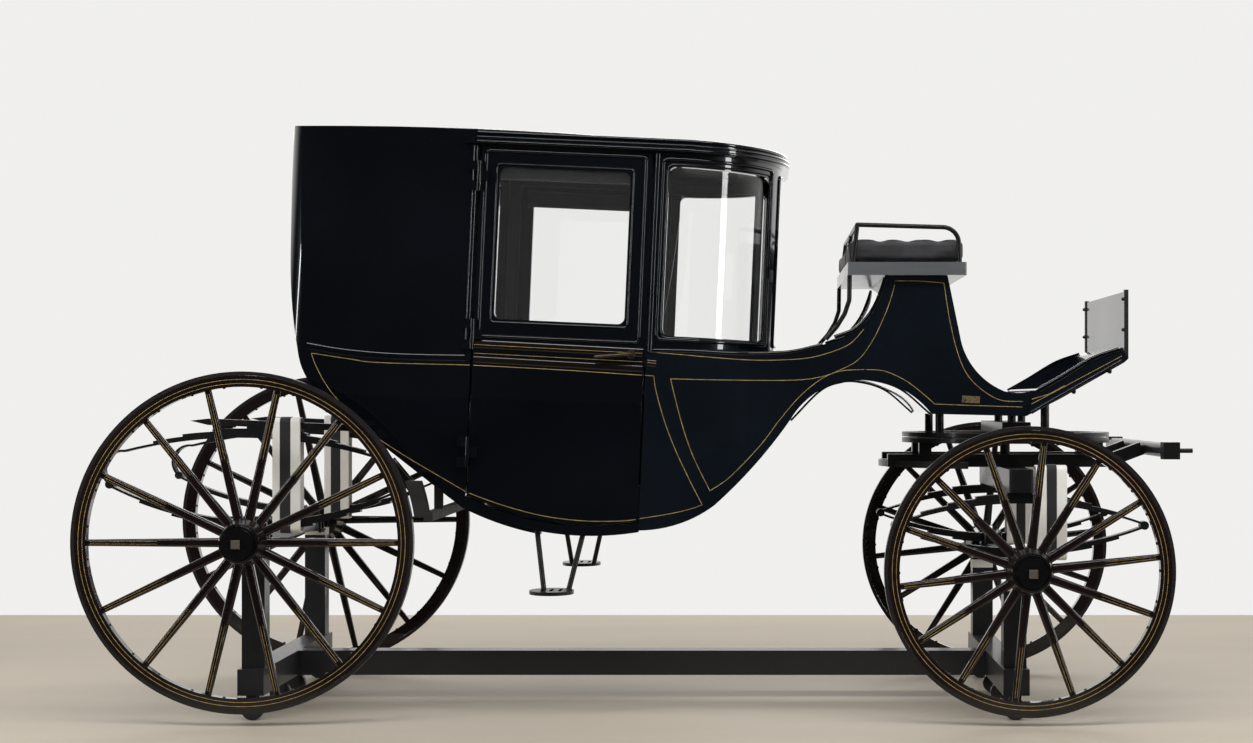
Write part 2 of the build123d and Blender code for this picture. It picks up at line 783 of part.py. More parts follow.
# Pump handles: flat irons under the body's bottom, running back over the rear springs
spring_y = 450.0
handle_bar_width = 46.0
handle_bar_depth = 22.0
handle_bar_z = 296.0
handle_bar_back_x = -1500.0
handle_spear = 62.0
handle_spear_share = 0.55
handle_end_x = -340.0
handle_iron = 16.0
handle_iron_back_x = -992.0
handle_bar_front_x = -967.0
with BuildPart() as pump_handles:
    extrude(cabin_side_face(-handle_iron), amount=spring_y + handle_bar_width / 2, both=True)
    bar_top_z = handle_bar_z + handle_bar_depth
    add(body_box(handle_iron_back_x, handle_end_x, -3 * overrun, bar_top_z), mode=Mode.INTERSECT)
    extrude(cabin_side_face(0), amount=cabin_half_width, both=True, mode=Mode.SUBTRACT)
    middle = spring_y - handle_bar_width / 2
    middle_box = body_box(-2 * cabin_length, cabin_length, -3 * overrun, cabin_top_z, -middle, middle)
    add(middle_box, mode=Mode.SUBTRACT)
    for side in (-1, 1):
        outline = [
            (handle_bar_front_x, handle_bar_z),
            (handle_bar_back_x, handle_bar_z),
            (handle_bar_back_x - handle_spear, handle_bar_z + handle_bar_depth * handle_spear_share),
            (handle_bar_back_x, bar_top_z),
            (handle_bar_front_x, bar_top_z),
        ]
        add_outline(side_plane(side * spring_y), outline, handle_bar_width / 2)
    extrude(cabin_side_face(0), amount=cabin_half_width, both=True, mode=Mode.SUBTRACT)
save(pump_handles.part, "pump_handles")

# Springs: leaves of one elliptic half are arcs about one centre, shortest leaf outermost
leaf_thickness = 8.0
leaf_width = 44.0
leaf_shares = [1.0, 0.78, 0.56, 0.34]
leaf_stack = len(leaf_shares) * leaf_thickness
eye_radius = 15.0


def add_half_spring(plane, x, crown_z, rise, half_span, scroll=()):
    """Half of an elliptic spring on a side plane: rise is positive where it arches up."""
    radius = (half_span**2 + rise**2) / (2 * abs(rise))
    direction = 1 if rise > 0 else -1
    half_angle = math.asin(half_span / radius)
    centre_z = crown_z - direction * radius
    for row, share in enumerate(leaf_shares):
        leaf_radius = radius + (row + 1) * leaf_thickness - leaf_thickness / 2
        end_x = leaf_radius * math.sin(half_angle * share)
        end_z = centre_z + direction * leaf_radius * math.cos(half_angle * share)
        top_z = centre_z + direction * leaf_radius
        with BuildSketch(plane) as leaf:
            with BuildLine():
                ThreePointArc((x + end_x, end_z), (x, top_z), (x - end_x, end_z))
                if scroll and row == 0:
                    ThreePointArc((x - end_x, end_z), scroll[0], scroll[1])
            trace(line_width=leaf_thickness)
        extrude(leaf.sketch, amount=leaf_width / 2, both=True)
    eyes = [(x + half_span, crown_z - rise)]
    eyes.append(scroll[1] if scroll else (x - half_span, crown_z - rise))
    with BuildSketch(plane) as eye_face:
        with Locations(*eyes):
            Circle(eye_radius)
    extrude(eye_face.sketch, amount=leaf_width / 2, both=True)


def add_shackle(start, end, y):
    """Pair of plates that join two spring eyes."""
    start = Vector(*start)
    end = Vector(*end)
    reach = (end - start).normalized() * eye_radius
    for face in (-1, 1):
        aside = across * (y + face * (leaf_width + shackle_width) / 2)
        add_bar(start - reach + aside, end + reach + aside, shackle_width, 2 * eye_radius)


# Rear springs: upper halves lean with the body under the pump handles and end behind in a scroll
rear_axle_half = 22.0
clip_plate = 6.0
shackle_width = 8.0
rear_upper_x = -1322.5
rear_upper_crown_z = handle_bar_z - clip_plate - leaf_stack
rear_upper_half = 460.0
rear_upper_rise = 68.0
rear_lower_half = 515.0
rear_lower_rise = 125.0
scroll_reach = 72.0
scroll_share = 0.42
rear_lower_crown_z = rear_axle_z + rear_axle_half + clip_plate + leaf_stack
with BuildPart() as rear_springs:
    for side in (-1, 1):
        y = side * spring_y
        lean_plane = side_plane(y)
        eye_z = rear_lower_crown_z + rear_lower_rise
        back_eye = lean_plane.to_local_coords(Vector(rear_axle_x - rear_lower_half, y, eye_z))
        leaf_end_z = rear_upper_crown_z - rear_upper_rise
        bend_z = leaf_end_z - (leaf_end_z - back_eye.Y) * scroll_share
        bend = (rear_upper_x - rear_upper_half - scroll_reach, bend_z)
        scroll = (bend, (back_eye.X, back_eye.Y))
        crown_z = rear_upper_crown_z
        add_half_spring(lean_plane, rear_upper_x, crown_z, rear_upper_rise, rear_upper_half, scroll)
        add_half_spring(level_side(y), rear_axle_x, rear_lower_crown_z, -rear_lower_rise, rear_lower_half)
        upper_eye = body_point(rear_upper_x + rear_upper_half, 0, leaf_end_z)
        add_shackle((rear_axle_x + rear_lower_half, 0, eye_z), (upper_eye.X, 0, upper_eye.Z), y)
        x_low = rear_upper_x - leaf_width
        x_high = rear_upper_x + leaf_width
        seat_low_z = handle_bar_z - clip_plate - leaf_thickness
        add(body_box(x_low, x_high, seat_low_z, handle_bar_z, y - leaf_width / 2, y + leaf_width / 2))
save(rear_springs.part, "rear_springs")

# Rear axle: square bed, round arms into the hubs, and clip plates under the springs
axle_bed_half = 560.0
hub_y = wheel_plane_y - wheel_dish
hub_inner_y = hub_y - hub_inner_length
hub_outer_y = hub_y + hub_outer_length
arm_end_gap = 32.0
arm_end_y = hub_outer_y - arm_end_gap
collar_radius = 35.0


def add_axle(x, z, half, clip_y):
    """Square axle bed with round arms and spring seats."""
    add_bar((x, -axle_bed_half, z), (x, axle_bed_half, z), 2 * half, 2 * half, Vector(1, 0, 0))
    add_rod((x, -arm_end_y, z), (x, arm_end_y, z), arm_radius)
    for side in (-1, 1):
        collar_start = (x, side * (hub_inner_y - hub_end_gap), z)
        add_rod(collar_start, (x, side * axle_bed_half, z), collar_radius)
        add_block(
            (x - leaf_width, side * clip_y - leaf_width / 2 - clip_plate, z + half - clip_plate),
            (x + leaf_width, side * clip_y + leaf_width / 2 + clip_plate, z + half + clip_plate),
        )


with BuildPart() as rear_axle:
    add_axle(rear_axle_x, rear_axle_z, rear_axle_half, spring_y)
save(rear_axle.part, "rear_axle")

# Brake: a crossbar under the body with a wooden shoe ahead of each rear wheel
brake_z = 747.0
brake_bar_z = 700.0
shoe_gap = 12.0
shoe_thickness = 46.0
shoe_height = 120.0
shoe_width = 60.0
brake_bar = 30.0
hanger_height = 180.0
brake_angle = math.asin((brake_z - rear_axle_z) / (rear_wheel_radius + shoe_gap))
with BuildPart() as brake_gear:
    for side in (-1, 1):
        inner = rear_wheel_radius + shoe_gap
        outer = inner + shoe_thickness
        with BuildSketch(level_side(side * wheel_plane_y)) as shoe_face:
            with Locations((rear_axle_x, rear_axle_z)):
                Circle(outer)
                Circle(inner, mode=Mode.SUBTRACT)
            shoe_x = rear_axle_x + outer * math.cos(brake_angle)
            shoe_z = rear_axle_z + outer * math.sin(brake_angle)
            with Locations((shoe_x, shoe_z)):
                Rectangle(4 * shoe_thickness, shoe_height, mode=Mode.INTERSECT)
        extrude(shoe_face.sketch, amount=shoe_width / 2, both=True)
    bar_x = rear_axle_x + math.sqrt(outer**2 - (brake_bar_z - rear_axle_z) ** 2)
    reach = wheel_plane_y + shoe_width / 2
    add_bar((bar_x, -reach, brake_bar_z), (bar_x, reach, brake_bar_z), brake_bar, brake_bar, Vector(1, 0, 0))
    for side in (-1, 1):
        hanger_y = side * (spring_y + handle_bar_width)
        hanger_low = (bar_x, hanger_y, brake_bar_z)
        hanger_high = (bar_x, hanger_y, brake_bar_z + hanger_height)
        add_bar(hanger_low, hanger_high, brake_bar / 2, brake_bar)
    add(outer_block, mode=Mode.SUBTRACT)
save(brake_gear.part, "brake_gear")

# Turntable: upper plate ring and transom under the boot, carrying the kingpin
ring_radius = 350.0
ring_width = 52.0
ring_thickness = 16.0
upper_ring_z = 955.0
ring_gap = 5.0
transom_half_x = 50.0
transom_height = 38.0
kingpin_radius = 18.0
kingpin_low_z = 735.0
post_radius = 15.0
post_shares = [(-0.74, 0.67), (-0.74, -0.67), (0.0, 0.60), (0.0, -0.60), (0.29, 0.95), (0.29, -0.95)]
with BuildPart() as turntable_upper:
    with BuildSketch(Plane.XY.offset(upper_ring_z)) as ring_face:
        with Locations((front_axle_x, 0)):
            Circle(ring_radius + ring_width / 2)
            Circle(ring_radius - ring_width / 2, mode=Mode.SUBTRACT)
            Rectangle(2 * ring_radius, transom_half_x)
    extrude(ring_face.sketch, amount=ring_thickness)
    ring_top = upper_ring_z + ring_thickness
    transom_low = (front_axle_x - transom_half_x, -ring_radius, ring_top)
    add_block(transom_low, (front_axle_x + transom_half_x, ring_radius, ring_top + transom_height))
    for x_share, y_share in post_shares:
        x = front_axle_x + x_share * ring_radius
        y = y_share * ring_radius
        foot = ring_top - ring_thickness / 2 if x_share else ring_top
        add_rod((x, y, foot), (x, y, ring_top + 3 * transom_height), post_radius)
    extrude(boot_side_face(), amount=cabin_half_width, both=True, mode=Mode.SUBTRACT)
    add(toe_board.part, mode=Mode.SUBTRACT)
    add_rod((front_axle_x, 0, kingpin_low_z), (front_axle_x, 0, ring_top), kingpin_radius)
save(turntable_upper.part, "turntable_upper")

# Fore-carriage: lower ring, bed, futchells and splinter bar turn about the kingpin
lower_ring_z = upper_ring_z - ring_gap - ring_thickness
futchell_y = 170.0
futchell_width = 44.0
futchell_height = 46.0
futchell_z = 848.0
futchell_back = 440.0
sway_depth = 264.0
bed_half_x = 42.0
bed_half_y = 500.0
bed_low_z = 768.0
chair_height = lower_ring_z - futchell_z - futchell_height
chair_z = futchell_z + futchell_height + chair_height / 2
with BuildPart() as turntable_lower:
    with BuildSketch(Plane.XY.offset(lower_ring_z)) as ring_face:
        with Locations((front_axle_x, 0)):
            Circle(ring_radius + ring_width / 2)
            Circle(ring_radius - ring_width / 2, mode=Mode.SUBTRACT)
    extrude(ring_face.sketch, amount=ring_thickness)
    chair_x = math.sqrt(ring_radius**2 - futchell_y**2)
    for x_side in (-1, 1):
        for y_side in (-1, 1):
            with Locations((front_axle_x + x_side * chair_x, y_side * futchell_y, chair_z)):
                Box(futchell_width, futchell_width, chair_height)
save(turntable_lower.part, "turntable_lower")

# Splinter bar: the crossbar that the traces hook on, with a hook and a square iron at each end
with BuildPart() as splinter_bar:
    x = front_axle_x + splinter_ahead
    bar_start = (x, -splinter_half_length, splinter_z)
    with BuildSketch(Plane(origin=bar_start, x_dir=(1, 0, 0), z_dir=(0, 1, 0))) as bar_face:
        RectangleRounded(splinter_depth, splinter_height, splinter_rounding)
    extrude(bar_face.sketch, amount=2 * splinter_half_length)
    for side in (-1, 1):
        end = (x, side * splinter_half_length, splinter_z)
        root = (x, side * (splinter_half_length - splinter_end), splinter_z)
        add_bar(root, end, splinter_depth, splinter_end, Vector(1, 0, 0))
        y = side * (splinter_half_length - splinter_depth / 2)
        start = x + splinter_depth / 2 - clip_plate
        tip = (x + splinter_depth / 2 + hook_reach, y, splinter_z)
        add_rod((start, y, splinter_z), tip, hook_radius)
save(splinter_bar.part, "splinter_bar")

with BuildPart() as futchells:
    for side in (-1, 1):
        y = side * futchell_y
        add_block(
            (front_axle_x - futchell_back, y - futchell_width / 2, futchell_z),
            (front_axle_x + ring_radius, y + futchell_width / 2, futchell_z + futchell_height),
        )
        end_x = front_axle_x + splinter_ahead - splinter_depth / 2
        mid = futchell_z + futchell_height / 2
        root = (front_axle_x + ring_radius, y, mid)
        add_bar(root, (end_x, y, splinter_z), futchell_width, futchell_height)
    with BuildSketch(Plane.XY.offset(futchell_z)) as sway_face:
        with Locations((front_axle_x, 0)):
            Circle(futchell_back + futchell_width / 2)
            Circle(futchell_back - futchell_width / 2, mode=Mode.SUBTRACT)
        with Locations((front_axle_x - futchell_back, 0)):
            Rectangle(2 * sway_depth, 4 * futchell_back, mode=Mode.INTERSECT)
    extrude(sway_face.sketch, amount=futchell_height / 2)
    add(splinter_bar.part, mode=Mode.SUBTRACT)
save(futchells.part, "futchells")

with BuildPart() as front_bed:
    bed_low = (front_axle_x - bed_half_x, -bed_half_y, bed_low_z)
    add_block(bed_low, (front_axle_x + bed_half_x, bed_half_y, futchell_z))
    fillet(front_bed.edges().filter_by(Axis.Z), bed_half_x / 3)
    with Locations((front_axle_x, 0, bed_low_z)):
        Cylinder(kingpin_radius + running_clearance, 4 * futchell_height, mode=Mode.SUBTRACT)
save(front_bed.part, "front_bed")

# Front springs: full elliptic, crossing the axle, clipped under the bed
front_spring_y = 430.0
front_half_span = 430.0
front_upper_crown_z = bed_low_z - clip_plate - leaf_stack
front_upper_rise = 76.0
front_axle_half = 22.0
front_lower_crown_z = front_axle_z + front_axle_half + clip_plate + leaf_stack
front_lower_rise = front_upper_crown_z - front_upper_rise - front_lower_crown_z
with BuildPart() as front_springs:
    for side in (-1, 1):
        y = side * front_spring_y
        plane = level_side(y)
        add_half_spring(plane, front_axle_x, front_upper_crown_z, front_upper_rise, front_half_span)
        add_half_spring(plane, front_axle_x, front_lower_crown_z, -front_lower_rise, front_half_span)
        seat_low = (front_axle_x - leaf_width, y - leaf_width / 2, bed_low_z - clip_plate - leaf_thickness)
        add_block(seat_low, (front_axle_x + leaf_width, y + leaf_width / 2, bed_low_z))
save(front_springs.part, "front_springs")

with BuildPart() as front_axle:
    add_axle(front_axle_x, front_axle_z, front_axle_half, front_spring_y)
save(front_axle.part, "front_axle")



def add_hub(x, z, side):
    """Turned nave with an iron band at its outer end; its bore is open to the inside."""
    out = Vector(0, side, 0)
    with BuildSketch(Plane(origin=(x, 0, z), x_dir=(1, 0, 0), z_dir=(0, 0, 1))) as profile:
        with BuildLine():
            Polyline(
                (0, side * hub_inner_y),
                (hub_mouth_radius, side * hub_inner_y),
                (hub_root_radius, side * (hub_y - felloe_width)),
                (hub_root_radius, side * (hub_y + felloe_width / 2)),
                (hub_mouth_radius, side * (hub_outer_y - hub_band_width)),
                (hub_band_radius, side * (hub_outer_y - hub_band_width)),
                (hub_band_radius, side * hub_outer_y),
                (0, side * hub_outer_y),
                close=True,
            )
        make_face()
    revolve(profile.sketch, axis=Axis((x, 0, z), (0, 1, 0)))
    bore = Vector(x, side * hub_inner_y, z)
    with BuildSketch(Plane(origin=bore, z_dir=out)) as bore_face:
        Circle(arm_radius + running_clearance)
    depth = arm_end_y - hub_inner_y + hub_end_gap
    extrude(bore_face.sketch, amount=depth, mode=Mode.SUBTRACT)


def add_cap(x, z, side, sides_count):
    """Hub cap: a flange, a round or six-sided nose and a square end."""
    out = Vector(0, side, 0)
    start = hub_outer_y + face_gap
    with BuildSketch(Plane(origin=(x, side * start, z), x_dir=(1, 0, 0), z_dir=out)) as flange:
        Circle(cap_radius)
    extrude(flange.sketch, amount=cap_thickness)
    nose_origin = (x, side * (start + cap_thickness), z)
    with BuildSketch(Plane(origin=nose_origin, x_dir=(1, 0, 0), z_dir=out)) as nose:
        if sides_count:
            RegularPolygon(cap_nose_radius, sides_count)
        else:
            Circle(cap_nose_radius)
    extrude(nose.sketch, amount=cap_nose_length)
    end = start + cap_thickness + cap_nose_length
    with BuildSketch(Plane(origin=(x, side * end, z), x_dir=(1, 0, 0), z_dir=out)) as square:
        Rectangle(cap_square, cap_square)
    extrude(square.sketch, amount=cap_square_length)


def build_wheel(name, x, z, radius, phase, side, cap_sides):
    """One wheel: tyre, wooden wheel with its nave, and hub cap."""
    out = Vector(0, side, 0)
    plane = Plane(origin=(x, side * wheel_plane_y, z), x_dir=(1, 0, 0), z_dir=out)
    felloe_radius = radius - tyre_thickness - face_gap
    with BuildPart() as tyre:
        with BuildSketch(plane) as tyre_face:
            Circle(radius)
            Circle(radius - tyre_thickness, mode=Mode.SUBTRACT)
        extrude(tyre_face.sketch, amount=tyre_width / 2, both=True)
    save(tyre.part, f"tyre_{name}")
    inner = felloe_radius - felloe_depth
    with BuildPart() as spoke:
        root = (hub_root_radius - spoke_tenon, 0, -wheel_dish)
        root_plane = Plane(origin=root, x_dir=(0, 0, 1), z_dir=(1, 0, 0))
        tip_plane = Plane(origin=(inner + spoke_tenon, 0, 0), x_dir=(0, 0, 1), z_dir=(1, 0, 0))
        with BuildSketch(root_plane) as root_face:
            RectangleRounded(spoke_root_depth, spoke_root_width, spoke_root_width / 3)
        with BuildSketch(tip_plane) as tip_face:
            RectangleRounded(spoke_rim_depth, spoke_rim_width, spoke_rim_width / 3)
        loft([root_face.sketch.face(), tip_face.sketch.face()])
    with BuildPart(plane) as wheel:
        with PolarLocations(0, spoke_count, start_angle=-side * phase):
            add(spoke.part)
        with BuildSketch(plane) as felloe_face:
            Circle(felloe_radius)
            Circle(inner, mode=Mode.SUBTRACT)
        extrude(felloe_face.sketch, amount=felloe_width / 2, both=True)
        add_hub(x, z, side)
    save(wheel.part, f"wheel_{name}")
    with BuildPart() as cap:
        add_cap(x, z, side, cap_sides)
    save(cap.part, f"hub_cap_{name}")


for side_name, side in sides.items():
    rear = (rear_axle_x, rear_axle_z, rear_wheel_radius, rear_spoke_phase)
    front = (front_axle_x, front_axle_z, front_wheel_radius, front_spoke_phase)
    build_wheel(f"rear_{side_name}", *rear, side, 0)
    build_wheel(f"front_{side_name}", *front, side, cap_nose_sides)

# Display stand: a low steel frame on casters that carries both axles, wheels just off the floor
beam_size = 89.0
beam_low_z = 87.0
crossmember_reach = 600.0
crossmember_inset = 30.0
leg_y = 520.0
leg_size = 78.0
pad_thickness = 26.0
leg_clearance = 30.0
caster_radius = 37.0
caster_width = 26.0
caster_outer_y = 562.0
caster_inner_y = 130.0
caster_plate = 8.0
stand_xs = (rear_axle_x, front_axle_x - crossmember_inset)
stand_top_zs = (rear_axle_z - rear_axle_half, front_axle_z - front_axle_half - leg_clearance)
beam_top_z = beam_low_z + beam_size
with BuildPart() as stand_beams:
    half = beam_size / 2
    add_block((stand_xs[0] - half, -half, beam_low_z), (stand_xs[1] + half, half, beam_top_z))
    for x in stand_xs:
        add_block((x - half, -crossmember_reach, beam_low_z), (x + half, crossmember_reach, beam_top_z))
save(stand_beams.part, "stand_beams")

with BuildPart() as stand_legs:
    for x, top_z in zip(stand_xs, stand_top_zs):
        for side in (-1, 1):
            y = side * leg_y
            half = leg_size / 2
            add_block((x - half, y - half, beam_top_z), (x + half, y + half, top_z - pad_thickness))
save(stand_legs.part, "stand_legs")

with BuildPart() as stand_pads:
    for x, top_z in zip(stand_xs, stand_top_zs):
        for side in (-1, 1):
            y = side * leg_y
            half = leg_size / 2 + face_gap
            low_z = top_z - pad_thickness + face_gap
            add_block((x - half, y - half, low_z), (x + half, y + half, top_z - face_gap))
save(stand_pads.part, "stand_pads")

with BuildPart() as stand_casters:
    for x in stand_xs:
        for y in (-caster_outer_y, -caster_inner_y, caster_inner_y, caster_outer_y):
            wheel_start = (x, y - caster_width / 2, caster_radius)
            add_rod(wheel_start, (x, y + caster_width / 2, caster_radius), caster_radius)
            for face in (-1, 1):
                plate_y = y + face * (caster_width + caster_plate) / 2
                plate_low = (x, plate_y, caster_radius)
                add_bar(plate_low, (x, plate_y, beam_low_z), caster_radius, caster_plate, Vector(1, 0, 0))
save(stand_casters.part, "stand_casters")
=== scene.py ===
import json
import math

import bmesh
import bpy
import numpy as np
from bpy.props import FloatProperty, FloatVectorProperty, IntProperty, PointerProperty
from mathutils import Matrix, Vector


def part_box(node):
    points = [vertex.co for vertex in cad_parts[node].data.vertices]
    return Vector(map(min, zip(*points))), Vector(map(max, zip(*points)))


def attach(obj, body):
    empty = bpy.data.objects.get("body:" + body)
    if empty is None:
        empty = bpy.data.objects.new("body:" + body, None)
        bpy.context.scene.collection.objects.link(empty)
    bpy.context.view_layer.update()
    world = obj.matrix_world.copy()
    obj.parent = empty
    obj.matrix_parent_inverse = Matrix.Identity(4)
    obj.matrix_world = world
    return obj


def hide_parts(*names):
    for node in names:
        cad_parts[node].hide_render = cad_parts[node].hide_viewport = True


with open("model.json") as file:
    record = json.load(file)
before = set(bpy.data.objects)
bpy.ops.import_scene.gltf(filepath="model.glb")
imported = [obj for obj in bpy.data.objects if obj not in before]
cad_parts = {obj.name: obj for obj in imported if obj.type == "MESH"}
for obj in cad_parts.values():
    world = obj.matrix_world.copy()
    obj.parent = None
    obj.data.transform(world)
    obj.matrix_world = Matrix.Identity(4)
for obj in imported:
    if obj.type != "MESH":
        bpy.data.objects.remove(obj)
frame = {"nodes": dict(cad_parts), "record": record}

bl_info = {
    "name": "Horse Drawn Carriage",
    "version": (1, 0, 0),
    "blender": (4, 5, 0),
    "location": "View3D > Sidebar > Carriage",
    "description": "Finishes, gold lines, mouldings, cushions and ironwork of a closed carriage",
    "category": "Object",
}

MM = 0.001
NODES = frame["nodes"]
WHEELS = ("rear_right", "rear_left", "front_right", "front_left")
SIDES = {"right": -1, "left": 1}


# Settings

def tint(name, description, default):
    """Colour setting."""
    return FloatVectorProperty(
        name=name, description=description, default=default, subtype="COLOR", size=3, min=0, max=1
    )


def span(name, description, default, low, high):
    """Setting in metres."""
    return FloatProperty(name=name, description=description, default=default, min=low, max=high, unit="LENGTH")


def level(name, description, default, high):
    """Strength or brightness."""
    return FloatProperty(name=name, description=description, default=default, min=0, max=high)


class CarriagePaint(bpy.types.PropertyGroup):
    body: tint("Coach paint", "Gloss colour of the body", (0.0011, 0.0019, 0.0036))
    boot: tint("Boot panel", "Slate blue of the boot's panels", (0.0026, 0.0048, 0.0082))
    line: tint("Gold line", "Colour of the fine lines", (0.52, 0.375, 0.14))
    wheel: tint("Wheel paint", "Dark maroon of the wheels", (0.0075, 0.0042, 0.0038))
    iron: tint("Ironwork", "Painted iron of the running gear", (0.005, 0.0053, 0.0062))
    leather: tint("Seat leather", "Leather of the driver's cushion", (0.022, 0.022, 0.026))
    cloth: tint("Interior cloth", "Cloth of the cabin", (0.055, 0.04, 0.038))
    brass: tint("Brass", "Tarnished brass fittings", (0.115, 0.095, 0.07))
    stand: tint("Stand", "Powder coat of the stand", (0.014, 0.014, 0.0155))
    foam: tint("Foam", "White foam of the pads and sleeves", (0.80, 0.79, 0.76))
    floor: tint("Floor", "Pale floor of the stage", (0.475, 0.42, 0.345))


class CarriageSizes(bpy.types.PropertyGroup):
    line_width: span("Line width", "Width of a gold line on the body", 0.0020, 0.001, 0.01)
    wheel_line: span("Wheel line width", "Width of a gold line on a felloe or spoke", 0.0015, 0.001, 0.008)
    line_height: span("Line height", "How far a painted line stands proud", 0.0006, 0.0002, 0.002)
    bead_width: span("Bead width", "Width of the window mouldings", 0.013, 0.004, 0.03)
    bead_height: span("Bead height", "Height of the window mouldings", 0.0075, 0.002, 0.015)
    bolt_radius: span("Bolt radius", "Radius of the felloe bolts", 0.006, 0.003, 0.012)
    cushion_cap: span("Cushion swell", "How far a point of a cushion may swell", 0.012, 0.004, 0.03)
    cushion_voxel: span("Cushion voxel", "Voxel of the cushions' remesh", 0.006, 0.004, 0.012)
    dome_sides: IntProperty(name="Bolt sides", description="Faces round a bolt head", default=10, min=6, max=24)


class CarriageStage(bpy.types.PropertyGroup):
    floor_back: span("Floor end", "Where the floor ends behind the carriage", 3.03, 1.5, 20)
    floor_half: span("Floor half width", "Half the floor's width", 14.0, 4, 60)
    fill: level("Fill light", "Strength of the soft light from all sides", 0.62, 2)
    glow: level("Mirrored wall", "Brightness of the white wall behind that gloss mirrors", 1.0, 2)
    dim: level("Mirrored room", "Brightness of the dark room in front that gloss mirrors", 0.035, 1)


def paint():
    return bpy.context.scene.carriage_paint


def sizes():
    return bpy.context.scene.carriage_sizes


# Shape helpers, in metres: the body's lean and height, how deep a foot is sunk, a loop's step, the sharp edge's angle

PITCH_COS, PITCH_SIN = math.cos(math.radians(2.5)), math.sin(math.radians(2.5))
DATUM = 0.640
SINK = 0.001
LOOP_STEP = 0.02
SHARP = math.radians(35.0)


def to_level(points):
    """Body points in the level frame: turned nose down by the pitch about Y, then raised to the datum."""
    x, y, z = np.moveaxis(points, -1, 0)
    return np.stack((x * PITCH_COS + z * PITCH_SIN, y, DATUM - x * PITCH_SIN + z * PITCH_COS), -1)


def to_body(points):
    """Level points in the leaning body frame: the turn of to_level undone."""
    x, y, z = np.moveaxis(points, -1, 0)
    z = z - DATUM
    return np.stack((x * PITCH_COS - z * PITCH_SIN, y, x * PITCH_SIN + z * PITCH_COS), -1)


def turn_level(vectors):
    """Body directions in the level frame: the same turn with no move."""
    return to_level(vectors) - to_level(np.zeros(3))


def unit(vectors):
    """Vectors over their lengths."""
    return vectors / np.linalg.norm(vectors, axis=-1, keepdims=True)


def even_steps(points, count):
    """Points at equal steps of length along a polyline."""
    steps = np.linalg.norm(np.diff(points, axis=0), axis=1)
    run = np.concatenate(([0.0], np.cumsum(steps)))
    want = np.linspace(0, run[-1], count)
    return np.stack([np.interp(want, run, points[:, k]) for k in range(points.shape[1])], 1)


def smooth_line(points, count):
    """Curve through points: between two of them, the cubic whose tangents are half the chord of their neighbours."""
    p = np.asarray(points, float)
    ends = np.vstack((2 * p[0] - p[1], p, 2 * p[-1] - p[-2]))
    t = np.linspace(0, len(p) - 1 - 1e-9, count * 6)
    i = t.astype(int)
    f = (t - i)[:, None]
    a, b, c, d = ends[i], ends[i + 1], ends[i + 2], ends[i + 3]
    curve = 0.5 * (2 * b + (c - a) * f + (2 * a - 5 * b + 4 * c - d) * f**2 + (3 * b - a - 3 * c + d) * f**3)
    return even_steps(curve, count)


def drawn(points, count):
    """Even points in metres along a line given in millimetres, curved when it has more than two points."""
    p = np.asarray(points, float) * MM
    return smooth_line(p, count) if len(p) > 2 else even_steps(p, count)


def rounded_loop(low, high, radius):
    """Closed rectangle with quarter circles at its corners: corner centre plus radius times (cos, sin)."""
    (x_low, y_low), (x_high, y_high) = np.asarray(low, float) + radius, np.asarray(high, float) - radius
    angles = np.linspace(0, np.pi / 2, 6)
    corners = []
    for quarter, centre in enumerate(((x_high, y_high), (x_low, y_high), (x_low, y_low), (x_high, y_low))):
        turn = angles + quarter * np.pi / 2
        corners.append(centre + radius * np.stack((np.cos(turn), np.sin(turn)), 1))
    closed = np.vstack((*corners, corners[0][:1]))
    out = []
    for start, end in zip(closed[:-1], closed[1:]):
        count = max(2, int(np.linalg.norm(end - start) / LOOP_STEP) + 1)
        t = np.linspace(0, 1, count)[:-1, None]
        out.append(start * (1 - t) + end * t)
    return np.vstack(out)


def carry(path, normal, profile, closed=False):
    """Profile carried along a path: point + across * a + normal * b, across being tangent crossed with normal."""
    tangent = np.roll(path, -1, 0) - np.roll(path, 1, 0) if closed else np.gradient(path, axis=0)
    across = unit(np.cross(tangent, normal))
    return path[:, None] + across[:, None] * profile[:, :1] + normal[:, None] * profile[:, 1:]


def half_round(width, height):
    """Bead profile: an ellipse's upper half, closed a little under the surface."""
    t = np.linspace(0, np.pi, 7)
    top = np.stack((width / 2 * np.cos(t), height * np.sin(t)), 1)
    return np.vstack((top, [(-width / 2, -SINK), (width / 2, -SINK)]))


def flat_band(width, height, sink=SINK):
    """Painted line profile: a low block with its edges broken."""
    w, edge = width / 2, min(width, height) / 3
    right = [(w, -sink), (w, height - edge), (w - edge, height)]
    return np.array([*right, (edge - w, height), (-w, height - edge), (-w, -sink)])


def round_profile(radius):
    """Circle profile."""
    t = np.linspace(0, 2 * np.pi, 8, endpoint=False)
    return np.stack((radius * np.cos(t), radius * np.sin(t)), 1)


def box_profile(width, height, edge):
    """Rectangle with its corners broken by edge."""
    w, h = width / 2, height / 2
    right = [(w, edge - h), (w, h - edge), (w - edge, h)]
    left = [(edge - w, h), (-w, h - edge), (-w, edge - h)]
    return np.array([*right, *left, (edge - w, -h), (w - edge, -h)])


def rod(path, profile, up):
    """Profile carried along a free path, its second axis kept as near to up as the path allows."""
    path = np.asarray(path, float)
    tangent = unit(np.gradient(path, axis=0))
    up = np.broadcast_to(np.asarray(up, float), path.shape)
    return carry(path, unit(up - tangent * np.sum(up * tangent, 1)[:, None]), profile)


